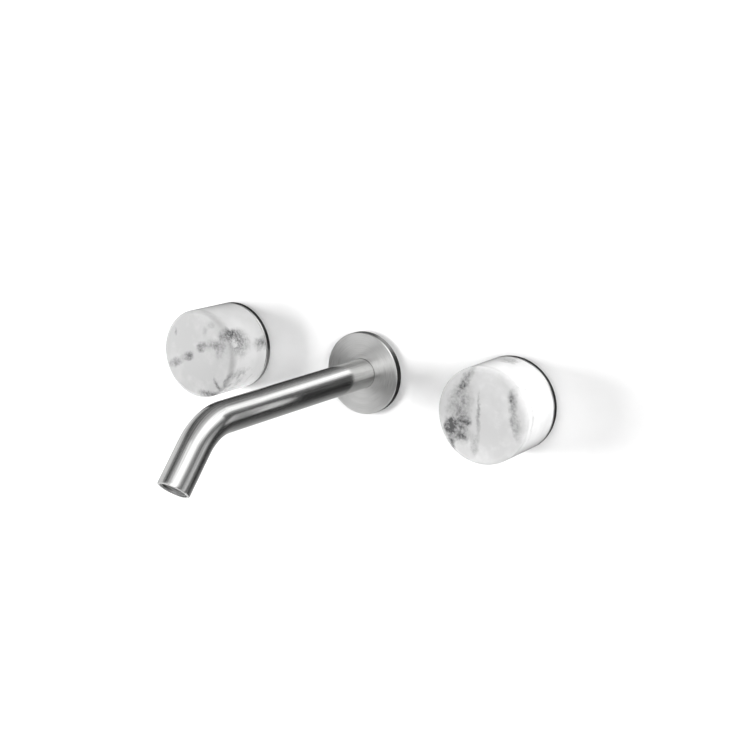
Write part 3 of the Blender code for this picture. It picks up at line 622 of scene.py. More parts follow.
def lengthwise_steel(name):
    """Steel brushed along a bent tube, which carries its straight place and its centre line."""
    material, tree, shader = new_finish(name, Metallic=1.0, Anisotropic=0.8)
    straight = add(tree, "ShaderNodeAttribute", attribute_name="straight_place").outputs["Vector"]
    line = add(tree, "ShaderNodeAttribute", attribute_name="centre_line").outputs["Vector"]
    normal = add(tree, "ShaderNodeNewGeometry").outputs["Normal"]
    around = vector_calc(tree, "NORMALIZE", vector_calc(tree, "CROSS_PRODUCT", line, normal))
    stretched = vector_calc(tree, "MULTIPLY", straight, (3400, 3400, 26))
    return scratched_steel(material, tree, shader, noise(tree, stretched, 1.0, 4.0, 0.6), around,
                           (0.62, 0.62, 0.615), TUBE_ROUGH)


FINISHES["spout_steel"] = lengthwise_steel("spout_steel")
FINISHES["plate_steel"] = circular_steel("plate_steel", 0)
for side, axis_x in SIDES.items():
    FINISHES[side + "_rosette_steel"] = circular_steel(side + "_rosette_steel", axis_x)

# %% [markdown]
# ## The knobs
#
# A knob is a plain round block: a flat front with a small rounded edge, a straight side, and a back
# that is hollowed for the steel hub. A hole from below lets a hexagon key reach the set screw. The
# block is turned from its outline, and the hole is bored into it afterwards, as on the real stone.

# %% Turn and bore the knobs
KNOB_FILLET = 3 * MM
HUB_FLANGE = width("hot_knob_hub") / 2 + CLEARANCE
HUB_BOSS = 9.3 * MM
HUB_FRONT = reach("hot_knob_hub")[1] + CLEARANCE
SHOULDER = 7.7 * MM
KEY_HOLE_RADIUS = 2.6 * MM
KEY_HOLE_HEIGHT = 11 * MM
knob_outline = rounded([
    (0, KNOB_FRONT, 0), (KNOB_RADIUS, KNOB_FRONT, KNOB_FILLET), (KNOB_RADIUS, KNOB_BACK, 0.5 * MM),
    (HUB_FLANGE, KNOB_BACK, 0.3 * MM), (HUB_FLANGE, SHOULDER, 0), (HUB_BOSS, SHOULDER, 0),
    (HUB_BOSS, HUB_FRONT, 0), (0, HUB_FRONT, 0),
], steps=10)
for side, axis in AXES.items():
    knob = link_object(side + "_marble_knob", mesh_from(lathe(knob_outline, 192), "knob", axis))
    key_hole = axis @ Matrix.Translation((0, 0, KEY_HOLE_HEIGHT)) @ Matrix.Rotation(pi / 2, 4, "X")
    carve(knob, mesh_from(rod(KEY_HOLE_RADIUS, HUB_BOSS / 2, 2 * KNOB_RADIUS, 48), "bore", key_hole))
    finish_piece(knob, FINISHES[side + "_marble"], side + "_handle", "marble", side + "_knob")

# %% [markdown]
# ## The round cover plates
#
# The rosettes behind the knobs and the plate behind the spout are flat discs, turned with a narrow
# bright chamfer at the front edge, and with a groove in the back for a rubber gasket.

# %% Turn the rosettes and the spout's plate
EDGE_ROUND = 0.12 * MM
CHAMFER = 0.45 * MM
GASKET_SINK = 1.1 * MM


def cover_plate(radius, thickness, band, middle):
    band_in, band_out = band
    return rounded([
        (radius - CHAMFER, thickness, EDGE_ROUND), (radius, thickness - CHAMFER, EDGE_ROUND),
        (radius, 0, EDGE_ROUND), (band_out, 0, 0), (band_out, GASKET_SINK, 0),
        (band_in, GASKET_SINK, 0), (band_in, 0, 0), *middle,
    ])


SLEEVE_HOLE, SLEEVE_SHOULDER = 11 * MM, 14.4 * MM
ROSETTE_STEP = ROSETTE_FRONT / 2
ROSETTE_GROOVE, PLATE_GROOVE = (16 * MM, 24 * MM), (12 * MM, 22 * MM)
rosette_outline = cover_plate(KNOB_RADIUS, ROSETTE_FRONT, ROSETTE_GROOVE, [
    (SLEEVE_HOLE, 0, 0), (SLEEVE_HOLE, ROSETTE_STEP, 0), (SLEEVE_SHOULDER, ROSETTE_STEP, 0),
    (SLEEVE_SHOULDER, ROSETTE_FRONT, EDGE_ROUND)])
for side, axis in AXES.items():
    rosette = link_object(side + "_steel_rosette", mesh_from(lathe(rosette_outline, 192), "rosette", axis))
    finish_piece(rosette, FINISHES[side + "_rosette_steel"], FIXED, "rosette_steel", side + "_rosette")

TUBE_HOLE = TUBE_RADIUS + 0.08 * MM
plate_outline = cover_plate(PLATE_RADIUS, PLATE_FRONT, PLATE_GROOVE, [
    (TUBE_HOLE, 0, 0), (TUBE_HOLE, PLATE_FRONT, 0.2 * MM)])
plate = link_object("spout_cover_plate", mesh_from(lathe(plate_outline, 192), "plate", WALL))
finish_piece(plate, FINISHES["plate_steel"], FIXED, "plate_steel", "spout_plate")

# %% [markdown]
# ## The spout
#
# The spout is one piece of tube, bent cold near its end. Its shape follows a rule: a straight tube
# laid along a path of two straight runs and an arc. So the straight tube is turned first, with both
# cut ends softly rounded, and Geometry Nodes lay it along the path. The path is a line through three
# points whose middle corner is filleted to the bend radius. Each point keeps its place on the
# straight tube and the direction of the path, which the brushed finish reads. The hole for the set
# screw is drilled before the tube is bent, because cutting would wipe out what the points carry.

# %% Bend the spout with Geometry Nodes
TUBE_WALL = 1.5 * MM
CORNER_HEIGHT = 150 * MM
BEND_RADIUS = 30 * MM
BEND_ANGLE = radians(51)
CORNER_TO_TIP = 39.5 * MM
RING_SPACING = 1.6 * MM
BEND_STEPS = 40
OUTER_ROUND, INNER_ROUND = 0.35 * MM, 0.2 * MM  # of the two edges of each cut end
tangent_length = BEND_RADIUS * tan(BEND_ANGLE / 2)
tube_length = (CORNER_HEIGHT - TUBE_START - tangent_length + BEND_RADIUS * BEND_ANGLE
               + CORNER_TO_TIP - tangent_length)
tip = Vector((0, -CORNER_TO_TIP * sin(BEND_ANGLE), CORNER_HEIGHT + CORNER_TO_TIP * cos(BEND_ANGLE)))
path_points = {"Start": WALL @ Vector((0, 0, TUBE_START)), "Tip": WALL @ tip,
               "Corner": WALL @ Vector((0, 0, CORNER_HEIGHT))}


def new_geometry_tree(name, **sizes):
    """A tree with a geometry input and output, and a named input for each size."""
    tree = bpy.data.node_groups.new(name, "GeometryNodeTree")
    tree.interface.new_socket("Geometry", in_out="INPUT", socket_type="NodeSocketGeometry")
    for label, kind in sizes.items():
        tree.interface.new_socket(label.replace("_", " "), in_out="INPUT",
                                  socket_type="NodeSocket" + kind)
    tree.interface.new_socket("Geometry", in_out="OUTPUT", socket_type="NodeSocketGeometry")
    return tree, tree.nodes.new("NodeGroupInput").outputs, tree.nodes.new("NodeGroupOutput").inputs


def run_geometry_tree(obj, tree, values):
    """Set the modifier's inputs by their identifiers, then turn the result into a plain mesh."""
    modifier = obj.modifiers.new(tree.name, "NODES")
    modifier.node_group = tree
    for item in tree.interface.items_tree:
        if item.in_out == "INPUT" and item.name in values:
            modifier[item.identifier] = values[item.name]
    return frozen(obj)


def end_tree(tree, geometry, finish, output):
    realized = add(tree, "GeometryNodeRealizeInstances", {"Geometry": geometry})
    coloured = add(tree, "GeometryNodeSetMaterial", {"Geometry": realized, "Material": finish})
    tree.links.new(coloured.outputs[0], output)


tree, given, out = new_geometry_tree("tube_along_a_path", Start="Vector", Corner="Vector", Tip="Vector",
                                     Bend_Radius="Float", Bend_Steps="Int")
line = add(tree, "GeometryNodeMeshLine", {"Count": 3, "Start Location": given["Start"],
                                          "Offset": given["Tip"]}, mode="END_POINTS")
is_corner = add(tree, "FunctionNodeCompare", {"A": add(tree, "GeometryNodeInputIndex"), "B": 1},
                data_type="INT", operation="EQUAL")
cornered = add(tree, "GeometryNodeSetPosition", {"Geometry": line, "Selection": is_corner,
                                                 "Position": given["Corner"]})
path = add(tree, "GeometryNodeFilletCurve",
           {"Curve": add(tree, "GeometryNodeMeshToCurve", {"Mesh": cornered}),
            "Radius": given["Bend Radius"], "Count": given["Bend Steps"]}, mode="POLY")
straight_place = add(tree, "GeometryNodeInputPosition")
kept = add(tree, "GeometryNodeStoreNamedAttribute",
           {"Geometry": given["Geometry"], "Name": "straight_place", "Value": straight_place},
           data_type="FLOAT_VECTOR", domain="POINT")
parts = add(tree, "ShaderNodeSeparateXYZ", {0: add(tree, "GeometryNodeInputPosition")})
sample = add(tree, "GeometryNodeSampleCurve", {"Curves": path, "Length": parts.outputs["Z"]}, mode="LENGTH")
directed = add(tree, "GeometryNodeStoreNamedAttribute",
               {"Geometry": kept, "Name": "centre_line", "Value": sample.outputs["Tangent"]},
               data_type="FLOAT_VECTOR", domain="POINT")
sideways = (1, 0, 0)
upward = vector_calc(tree, "CROSS_PRODUCT", sample.outputs["Tangent"], sideways)
across = vector_calc(tree, "ADD",
                     add(tree, "ShaderNodeCombineXYZ", {"X": parts.outputs["X"]}).outputs[0],
                     vector_calc(tree, "SCALE", upward, parts.outputs["Y"]))
bent = add(tree, "GeometryNodeSetPosition",
           {"Geometry": directed, "Position": vector_calc(tree, "ADD", sample.outputs["Position"], across)})
end_tree(tree, bent, FINISHES["spout_steel"], out["Geometry"])

inner_radius = TUBE_RADIUS - TUBE_WALL
ring_count = ceil(tube_length / RING_SPACING)
levels = [tube_length * step / ring_count for step in range(ring_count + 1)]
tube_outline = (
    [(TUBE_RADIUS, level, 0) for level in levels[1:-1]]
    + [(TUBE_RADIUS, tube_length, OUTER_ROUND), (inner_radius, tube_length, INNER_ROUND)]
    + [(inner_radius, level, 0) for level in levels[-2:0:-1]]
    + [(inner_radius, 0, INNER_ROUND), (TUBE_RADIUS, 0, OUTER_ROUND)]
)
spout = link_object("bent_spout_tube", mesh_from(lathe(rounded(tube_outline), 144), "tube"))
SCREW_HOLE_HEIGHT, SCREW_HOLE_RADIUS = 14 * MM, 2.3 * MM
below = Matrix.Translation((0, 0, SCREW_HOLE_HEIGHT - TUBE_START)) @ Matrix.Rotation(pi / 2, 4, "X")
carve(spout, mesh_from(rod(SCREW_HOLE_RADIUS, inner_radius / 2, 2 * TUBE_RADIUS, 40), "bore", below))
run_geometry_tree(spout, tree, {**path_points, "Bend Radius": BEND_RADIUS, "Bend Steps": BEND_STEPS})
finish_piece(spout, FINISHES["spout_steel"], FIXED, "spout_steel", "spout_tube")
print("tube length", round(tube_length / MM, 1), "mm")

# %% [markdown]
# ## The aerator
#
# The insert in the spout's mouth is a thin steel ring round a plastic honeycomb, which breaks the
# water into a soft stream. A honeycomb is the same small six-sided cell over and over, so Geometry
# Nodes place one cell on each point of a staggered grid, and leave out those beyond the ring.

# %% Turn the aerator's ring and grow its honeycomb
MOUTH = WALL @ Matrix.Translation(tip) @ Matrix.Rotation(BEND_ANGLE, 4, "X")
INSERT_RADIUS = inner_radius - CLEARANCE
LIP_FRONT, LIP_BACK, INSERT_BACK = -0.6 * MM, -1.3 * MM, -10 * MM
insert_inner, lip_inner = INSERT_RADIUS - 0.9 * MM, INSERT_RADIUS - 0.7 * MM
ring_outline = rounded([
    (INSERT_RADIUS, LIP_FRONT, 0.15 * MM), (INSERT_RADIUS, INSERT_BACK, 0), (insert_inner, INSERT_BACK, 0),
    (insert_inner, LIP_BACK, 0), (lip_inner, LIP_BACK, 0), (lip_inner, LIP_FRONT, 0.1 * MM)])
FINISHES["aerator_steel"] = circular_steel("aerator_steel", 0, tint=(0.42, 0.42, 0.42))
aerator_ring = link_object("aerator_ring", mesh_from(lathe(ring_outline, 96), "ring", MOUTH))
finish_piece(aerator_ring, FINISHES["aerator_steel"], FIXED, "aerator_steel", "aerator_housing")


def moulded(name, light, dark, rough, grain_scale, relief, **shader_values):
    """A surface that isn't metal: a fine mottled colour, uneven gloss and a slight relief."""
    material, tree, shader = new_finish(name, **shader_values)
    grain = noise(tree, object_place(tree), grain_scale, 4.0, 0.6)
    patches = noise(tree, object_place(tree), grain_scale / 12, 2.0)
    plug(tree, shader, Base_Color=colours(tree, patches, (0.35, dark), (0.65, light)),
         Roughness=remap(tree, grain, 0.3, 0.7, rough - 0.06, rough + 0.06),
         Normal=bump(tree, grain, relief, 0.5))
    return material


FINISHES["aerator_plastic"] = moulded("aerator_plastic", (0.46, 0.46, 0.46), (0.36, 0.36, 0.36), 0.4,
                                      1800, 0.01 * MM)

tree, given, out = new_geometry_tree("honeycomb", Disc_Radius="Float", Pitch="Float", Web="Float",
                                     Depth="Float", Columns="Int")
index = add(tree, "GeometryNodeInputIndex").outputs[0]
column = calc(tree, "MODULO", index, given["Columns"])
row = calc(tree, "FLOOR", calc(tree, "DIVIDE", index, given["Columns"]))
middle = calc(tree, "MULTIPLY", given["Columns"], 0.5)
stagger = calc(tree, "MULTIPLY", calc(tree, "MODULO", row, 2.0), 0.5)
across = calc(tree, "MULTIPLY", calc(tree, "ADD", calc(tree, "SUBTRACT", column, middle), stagger),
              given["Pitch"])
rise = calc(tree, "MULTIPLY", calc(tree, "SUBTRACT", row, middle),
            calc(tree, "MULTIPLY", given["Pitch"], sin(radians(60))))
cell_place = add(tree, "ShaderNodeCombineXYZ", {"X": across, "Y": rise})
cell_count = calc(tree, "MULTIPLY", given["Columns"], given["Columns"])
points = add(tree, "GeometryNodePoints", {"Count": cell_count, "Position": cell_place})
is_outside = add(tree, "FunctionNodeCompare", {
    "A": vector_calc(tree, "LENGTH", add(tree, "GeometryNodeInputPosition")),
    "B": calc(tree, "SUBTRACT", given["Disc Radius"], calc(tree, "MULTIPLY", given["Pitch"], 0.55))},
    operation="GREATER_THAN")
inside = add(tree, "GeometryNodeDeleteGeometry", {"Geometry": points, "Selection": is_outside})
cell_radius = calc(tree, "MULTIPLY", given["Pitch"], 0.5 / cos(radians(30)))
cell_path = add(tree, "GeometryNodeCurvePrimitiveCircle", {"Resolution": 6, "Radius": cell_radius})
web_section = add(tree, "GeometryNodeCurvePrimitiveQuadrilateral", {"Width": given["Web"],
                                                                    "Height": given["Depth"]})
cell = add(tree, "GeometryNodeCurveToMesh", {"Curve": cell_path, "Profile Curve": web_section})
upright = add(tree, "FunctionNodeAxisAngleToRotation", {"Axis": (0, 0, 1), "Angle": radians(30)})
cells = add(tree, "GeometryNodeInstanceOnPoints", {"Points": inside, "Instance": cell,
                                                   "Rotation": upright})
both = add(tree, "GeometryNodeJoinGeometry", {"Geometry": cells})
tree.links.new(given["Geometry"], both.inputs["Geometry"])
end_tree(tree, both, FINISHES["aerator_plastic"], out["Geometry"])

SCREEN_RADIUS = width("aerator_screen") / 2
SCREEN_FRONT, SCREEN_DEPTH = LIP_BACK - CLEARANCE, 1.2 * MM
RIM = 0.7 * MM
CELL_PITCH, CELL_WEB, CELL_COLUMNS = 1.25 * MM, 0.3 * MM, 12
rim = lathe([(SCREEN_RADIUS, SCREEN_DEPTH / 2), (SCREEN_RADIUS, -SCREEN_DEPTH / 2),
             (SCREEN_RADIUS - RIM, -SCREEN_DEPTH / 2), (SCREEN_RADIUS - RIM, SCREEN_DEPTH / 2)], 72)
screen = link_object("aerator_honeycomb", mesh_from(rim, "honeycomb"))
run_geometry_tree(screen, tree, {"Disc Radius": SCREEN_RADIUS, "Pitch": CELL_PITCH, "Web": CELL_WEB,
                                 "Depth": 0.9 * SCREEN_DEPTH, "Columns": CELL_COLUMNS})
screen.data.transform(MOUTH @ Matrix.Translation((0, 0, SCREEN_FRONT - SCREEN_DEPTH / 2)))
finish_piece(screen, FINISHES["aerator_plastic"], FIXED, "aerator_plastic", "aerator_screen")

# %% [markdown]
# ## Metals and rubber behind the wall
#
# The works are not polished for show. Cast brass has a sandy skin, turned brass and copper carry
# faint tool lines, and zinc plate is grey with darker clouds. Rubber is nearly black and dull. Each
# gets its own grain, so that no two of them look like the same paint.

# %% Finishes for the works


def plain_metal(name, tint, rough, grain_scale, stretch, relief):
    """Metal with a grain that may be stretched along one way, and darker clouds of tarnish."""
    material, tree, shader = new_finish(name, Metallic=1.0)
    grain = noise(tree, object_place(tree, scale=stretch), grain_scale, 4.0, 0.6)
    tarnish = noise(tree, object_place(tree), 90, 3.0)
    lines = calc(tree, "ADD", calc(tree, "MULTIPLY", grain, 0.5), calc(tree, "MULTIPLY", tarnish, 0.5))
    dark = [channel * 0.7 for channel in tint]
    plug(tree, shader, Base_Color=colours(tree, lines, (0.35, dark), (0.6, tint)),
         Roughness=remap(tree, lines, 0.3, 0.7, rough + 0.08, rough - 0.06),
         Normal=bump(tree, grain, relief, 0.6))
    return material


FINISHES.update({
    "brass": plain_metal("brass", (0.76, 0.58, 0.30), 0.3, 1500, (1, 0.2, 1), 0.01 * MM),
    "cast_brass": plain_metal("cast_brass", (0.70, 0.53, 0.28), 0.46, 1300, (1, 1, 1), 0.05 * MM),
    "copper": plain_metal("copper", (0.80, 0.44, 0.30), 0.28, 900, (0.08, 1, 1), 0.006 * MM),
    "hub_steel": plain_metal("hub_steel", (0.56, 0.56, 0.55), 0.34, 1600, (1, 0.1, 1), 0.006 * MM),
    "fastener_steel": plain_metal("fastener_steel", (0.5, 0.5, 0.51), 0.36, 1800, (1, 1, 1), 0.008 * MM),
    "rail_steel": plain_metal("rail_steel", (0.60, 0.62, 0.64), 0.4, 700, (0.05, 1, 1), 0.01 * MM),
    "rubber": moulded("rubber", (0.035, 0.035, 0.036), (0.02, 0.02, 0.021), 0.75, 2200, 0.02 * MM),
    "ceramic": moulded("ceramic", (0.84, 0.82, 0.77), (0.78, 0.76, 0.70), 0.25, 900, 0.004 * MM),
})
print(len(FINISHES), "finishes")

# %% [markdown]
# ## Brass castings
#
# The valve bodies and the tee are cast: round barrels that flow into each other with soft fillets,
# with bores machined afterwards. Overlapping barrels are first melted into one skin with a voxel
# remesh and smoothed a little, which makes the fillets by itself. Then the bores are cut, and their
# edges stay crisp. A supply socket has a screw thread, which is a helix, so Geometry Nodes wind it.

# %% Cast the valve bodies and the tee
THREAD_BORE = 10.8 * MM
WATERWAY = 6 * MM
VALVE_BACK, VALVE_FRONT = reach("hot_valve_body")
VALVE_RADIUS = 16 * MM
OUTLET_HEIGHT, INLET_HEIGHT, SEAT_HEIGHT = -41 * MM, -55 * MM, -50 * MM
PORT_RADIUS, PORT_LENGTH, PORT_SOCKET_DEPTH = 10.5 * MM, 34 * MM, 12 * MM
INLET_RADIUS, INLET_LENGTH, INLET_SOCKET, INLET_SOCKET_DEPTH = 12.4 * MM, 38 * MM, 9.5 * MM, 14 * MM
LINK_RADIUS = 7.5 * MM
VOXEL = 0.75 * MM
OVERRUN = 1 * MM  # how far a cutting tool runs past the face that it enters
BARREL_CHAMFER = 0.6 * MM
TEE_COLLAR_RADIUS, TEE_COLLAR_HALF, TEE_NECK_RADIUS = 13 * MM, 17 * MM, 14 * MM
SCREW_HOLE_DEPTH = 8 * MM

tree, given, out = new_geometry_tree("helical_thread", Radius="Float", Length="Float", Pitch="Float",
                                     Crest="Float")
helix = add(tree, "GeometryNodeCurveSpiral", {
    "Resolution": 40, "Rotations": calc(tree, "DIVIDE", given["Length"], given["Pitch"]),
    "Start Radius": given["Radius"], "End Radius": given["Radius"], "Height": given["Length"]})
wound = add(tree, "GeometryNodeSetCurveNormal", {"Curve": helix}, mode="Z_UP")
ridge = add(tree, "GeometryNodeCurvePrimitiveCircle", {"Resolution": 4, "Radius": given["Crest"]})
thread = add(tree, "GeometryNodeCurveToMesh", {"Curve": wound, "Profile Curve": ridge, "Fill Caps": True})
end_tree(tree, thread, FINISHES["brass"], out["Geometry"])
THREAD_TREE = tree


def thread_mesh(radius, length, place, pitch=1.8 * MM, crest=0.55 * MM):
    """A helical ridge that stands up from its place, as a mesh."""
    helper = link_object("thread", bpy.data.meshes.new("thread"))
    run_geometry_tree(helper, THREAD_TREE, {"Radius": radius, "Length": length, "Pitch": pitch,
                                            "Crest": crest})
    mesh = helper.data
    mesh.transform(place)
    bpy.data.objects.remove(helper)
    return mesh


def add_shells(obj, *meshes):
    """Add whole closed shells to an object's mesh."""
    shape = bmesh.new()
    shape.from_mesh(obj.data)
    for mesh in meshes:
        shape.from_mesh(mesh)
    shape.to_mesh(obj.data)
    shape.free()


def cast(name, place, barrels):
    """Melt barrels of (shape, matrix) into one rounded casting."""
    obj = link_object(name, bpy.data.meshes.new(name))
    add_shells(obj, *[mesh_from(shape, "barrel", place @ matrix) for shape, matrix in barrels])
    remesh = obj.modifiers.new("melt", "REMESH")
    remesh.mode, remesh.voxel_size, remesh.adaptivity = "VOXEL", VOXEL, 0
    smooth = obj.modifiers.new("fillets", "SMOOTH")
    smooth.factor, smooth.iterations = 0.5, 10
    return frozen(obj)


def stepped(steps, bottom):
    """A cutting tool that narrows: steps of (radius, height it starts at), mouth first."""
    outline = [(0, steps[0][1])]
    for number, (radius, start) in enumerate(steps):
        end = steps[number + 1][1] if number + 1 < len(steps) else bottom
        outline += [(radius, start), (radius, end)]
    return lathe(outline + [(0, bottom)], 64)


def turned_to(height, turn, axis):
    return Matrix.Translation((0, 0, height)) @ Matrix.Rotation(turn, 4, axis)


SCREW_OFFSET, SCREW_CLEARANCE = 10 * MM, 2.7 * MM
for side, axis in AXES.items():
    towards_middle = turned_to(OUTLET_HEIGHT, -pi / 2 if SIDES[side] > 0 else pi / 2, "Y")
    downward = turned_to(INLET_HEIGHT, pi / 2, "X")
    body = cast(side + "_cast_valve_body", axis, [
        (rod(VALVE_RADIUS, VALVE_BACK, VALVE_FRONT, 64, 0.8 * MM), Matrix.Identity(4)),
        (rod(INLET_RADIUS, 0, INLET_LENGTH, 64, BARREL_CHAMFER), downward),
        (rod(PORT_RADIUS, 0, PORT_LENGTH, 64, BARREL_CHAMFER), towards_middle)])
    carve(
        body,
        mesh_from(stepped([(THREAD_BORE, VALVE_FRONT + OVERRUN), (WATERWAY, SEAT_HEIGHT)],
                          INLET_HEIGHT - WATERWAY / 2), "bore", axis),
        mesh_from(stepped([(INLET_SOCKET, INLET_LENGTH + OVERRUN),
                           (WATERWAY - OVERRUN, INLET_LENGTH - INLET_SOCKET_DEPTH)], -WATERWAY / 2),
                  "bore", axis @ downward),
        mesh_from(stepped([(LINK_RADIUS + CLEARANCE, PORT_LENGTH + OVERRUN),
                           (WATERWAY, PORT_LENGTH - PORT_SOCKET_DEPTH)], VALVE_RADIUS / 2),
                  "bore", axis @ towards_middle),
        *[mesh_from(rod(SCREW_CLEARANCE, VALVE_BACK - OVERRUN, VALVE_BACK + SCREW_HOLE_DEPTH, 32), "bore",
                    axis @ Matrix.Translation((offset, 0, 0))) for offset in (-SCREW_OFFSET, SCREW_OFFSET)])
    threaded = INLET_SOCKET_DEPTH - 3 * MM
    add_shells(body, thread_mesh(INLET_SOCKET, threaded, axis @ downward @ Matrix.Translation(
        (0, 0, INLET_LENGTH - threaded - 1.2 * MM))))
    finish_piece(body, FINISHES["cast_brass"], FIXED, "brass", side + "_valve_body", crease=40)

along_wall = turned_to(OUTLET_HEIGHT, pi / 2, "Y")
tee = cast("cast_outlet_tee", WALL, [
    (rod(PORT_RADIUS, -PORT_LENGTH, PORT_LENGTH, 64, BARREL_CHAMFER), along_wall),
    (rod(TEE_COLLAR_RADIUS, -TEE_COLLAR_HALF, TEE_COLLAR_HALF, 64, 1 * MM), along_wall),
    (rod(TEE_NECK_RADIUS, OUTLET_HEIGHT, VALVE_FRONT, 64, BARREL_CHAMFER), Matrix.Identity(4))])
cross_step = PORT_LENGTH - PORT_SOCKET_DEPTH
cross_bore = lathe([(0, PORT_LENGTH + OVERRUN), (LINK_RADIUS + CLEARANCE, PORT_LENGTH + OVERRUN),
                    (LINK_RADIUS + CLEARANCE, cross_step), (WATERWAY, cross_step),
                    (WATERWAY, -cross_step), (LINK_RADIUS + CLEARANCE, -cross_step),
                    (LINK_RADIUS + CLEARANCE, -PORT_LENGTH - OVERRUN), (0, -PORT_LENGTH - OVERRUN)], 64)
carve(tee, mesh_from(stepped([(THREAD_BORE, VALVE_FRONT + OVERRUN),
                              (WATERWAY - OVERRUN, VALVE_FRONT - PORT_SOCKET_DEPTH)], OUTLET_HEIGHT),
                     "bore", WALL),
      mesh_from(cross_bore, "bore", WALL @ along_wall))
finish_piece(tee, FINISHES["cast_brass"], FIXED, "brass", "outlet_tee", crease=40)

# %% [markdown]
# ## Tubes and nuts
#
# A copper tube runs from each valve to the tee. At each end a brass nut pulls a soft ring against the
# port. A nut is cut from hexagon bar and its corners are turned off, so it is the part that a
# hexagon and a chamfered barrel have in common.

# %% Turn the link tubes and cut the nuts
LINK_MIDDLE = abs(SIDES["hot"]) / 2
LINK_HALF = width("hot_link_tube") / 2
LINK_WALL = 1 * MM
NUT_CORNER, NUT_FLAT = 13.8 * MM, 13.8 * MM * cos(pi / 6)
NUT_NEAR, NUT_FAR = 10 * MM, 24 * MM
COLLAR = LINK_RADIUS + CLEARANCE
NUT_STEP = 11.6 * MM


def hexagon_nut(name, place, low, high, *bores):
    """A six-sided bar between two heights with its corners turned off, and bored."""
    turned_off = 0.9 * MM
    shape = bmesh.new()
    bmesh.ops.create_cone(shape, cap_ends=True, segments=6, radius1=NUT_CORNER, radius2=NUT_CORNER,
                          depth=high - low)
    bmesh.ops.translate(shape, vec=(0, 0, (low + high) / 2), verts=shape.verts)
    nut = link_object(name, mesh_from(shape, name, place))
    barrel = lathe([
        (0, high), (NUT_FLAT, high), (NUT_CORNER + 0.1 * MM, high - turned_off),
        (NUT_CORNER + 0.1 * MM, low + turned_off), (NUT_FLAT, low), (0, low)], 96)
    carve(nut, mesh_from(barrel, "barrel", place), operation="INTERSECT")
    return carve(nut, *[mesh_from(bore, "bore", place) for bore in bores])


for side, offset in SIDES.items():
    sign = 1 if offset > 0 else -1
    link_middle = WALL @ Matrix.Translation((sign * LINK_MIDDLE, 0, 0)) @ along_wall
    tube = link_object(side + "_copper_link", mesh_from(lathe(rounded([
        (LINK_RADIUS, LINK_HALF, 0.2 * MM), (LINK_RADIUS, -LINK_HALF, 0.2 * MM),
        (LINK_RADIUS - LINK_WALL, -LINK_HALF, 0.2 * MM), (LINK_RADIUS - LINK_WALL, LINK_HALF, 0.2 * MM)]),
        96), "tube", link_middle))
    finish_piece(tube, FINISHES["copper"], FIXED, "copper", side + "_link_tube")
    for end, direction in (("tee", -sign), ("valve", sign)):
        facing = link_middle @ Matrix.Rotation(0 if direction > 0 else pi, 4, "X")
        nut = hexagon_nut(f"{side}_{end}_hexagon_nut", facing, NUT_NEAR, NUT_FAR,
                          rod(COLLAR, 0, 2 * NUT_FAR), rod(PORT_RADIUS + CLEARANCE, NUT_STEP, 2 * NUT_FAR))
        finish_piece(nut, FINISHES["brass"], FIXED, "brass", f"{side}_{end}_nut", crease=25)

# %% [markdown]
# ## Sleeves, rail and screws
#
# A threaded sleeve clamps each rosette against the wall. A plated steel rail carries both valves from
# behind, with holes for the wall screws, and countersunk screws with hexagon sockets hold the valve
# bodies to it. The four screws are alike, so Geometry Nodes set one screw on four points.

# %% Turn the sleeves, cut the rail and place the screws
SLEEVE_INNER, SLEEVE_OUTER = 8.9 * MM, 10.6 * MM
SLEEVE_BACK, SLEEVE_FRONT = reach("hot_wall_sleeve")
flange_back = ROSETTE_STEP + CLEARANCE
flange_radius, thread_root = SLEEVE_SHOULDER - CLEARANCE, SLEEVE_OUTER - 0.5 * MM
sleeve_outline = rounded([
    (flange_radius, SLEEVE_FRONT, 0.15 * MM), (flange_radius, flange_back, 0),
    (thread_root, flange_back, 0), (thread_root, SLEEVE_BACK, 0.2 * MM),
    (SLEEVE_INNER, SLEEVE_BACK, 0.2 * MM), (SLEEVE_INNER, SLEEVE_FRONT, 0.15 * MM)])
for side, axis in AXES.items():
    sleeve = link_object(side + "_threaded_sleeve", mesh_from(lathe(sleeve_outline, 96), "sleeve", axis))
    thread_place = axis @ Matrix.Translation((0, 0, SLEEVE_BACK + 0.8 * MM))
    add_shells(sleeve, thread_mesh(SLEEVE_OUTER - 0.55 * MM, -SLEEVE_BACK - 2 * MM, thread_place,
                                   pitch=1.5 * MM, crest=0.5 * MM))
    finish_piece(sleeve, FINISHES["brass"], FIXED, "brass", side + "_wall_sleeve")

rail_low, rail_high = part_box("mounting_rail")
RAIL_CORNER = 6 * MM
SCREW_RADIUS, SCREW_HEAD = 2.4 * MM, 4.5 * MM
WALL_FIXING_HOLE = 3.5 * MM
WALL_FIXING_ALONG, WALL_FIXING_UP = 135 * MM, 15 * MM
rail_shape = cuboid(rail_low, rail_high)
corners = [edge for edge in rail_shape.edges if abs(edge.verts[0].co.y - edge.verts[1].co.y) > MM]
bmesh.ops.bevel(rail_shape, geom=corners, offset=RAIL_CORNER, segments=10, profile=0.5, affect="EDGES")
rims = [edge for edge in rail_shape.edges if abs(edge.verts[0].co.y - edge.verts[1].co.y) < 0.01 * MM]
bmesh.ops.bevel(rail_shape, geom=rims, offset=0.25 * MM, segments=2, profile=0.5, affect="EDGES")
rail = link_object("plated_rail", mesh_from(rail_shape, "rail"))
rail_front, rail_back = -rail_low.y, -rail_high.y
sink = SCREW_HEAD + 2 * CLEARANCE
countersink = [(0, rail_front + OVERRUN), (SCREW_CLEARANCE, rail_front + OVERRUN),
               (SCREW_CLEARANCE, rail_back + sink - SCREW_CLEARANCE),
               (sink + OVERRUN, rail_back - OVERRUN), (0, rail_back - OVERRUN)]
screw_places = [Vector((offset + step, 0, 0)) for offset in SIDES.values()
                for step in (-SCREW_OFFSET, SCREW_OFFSET)]
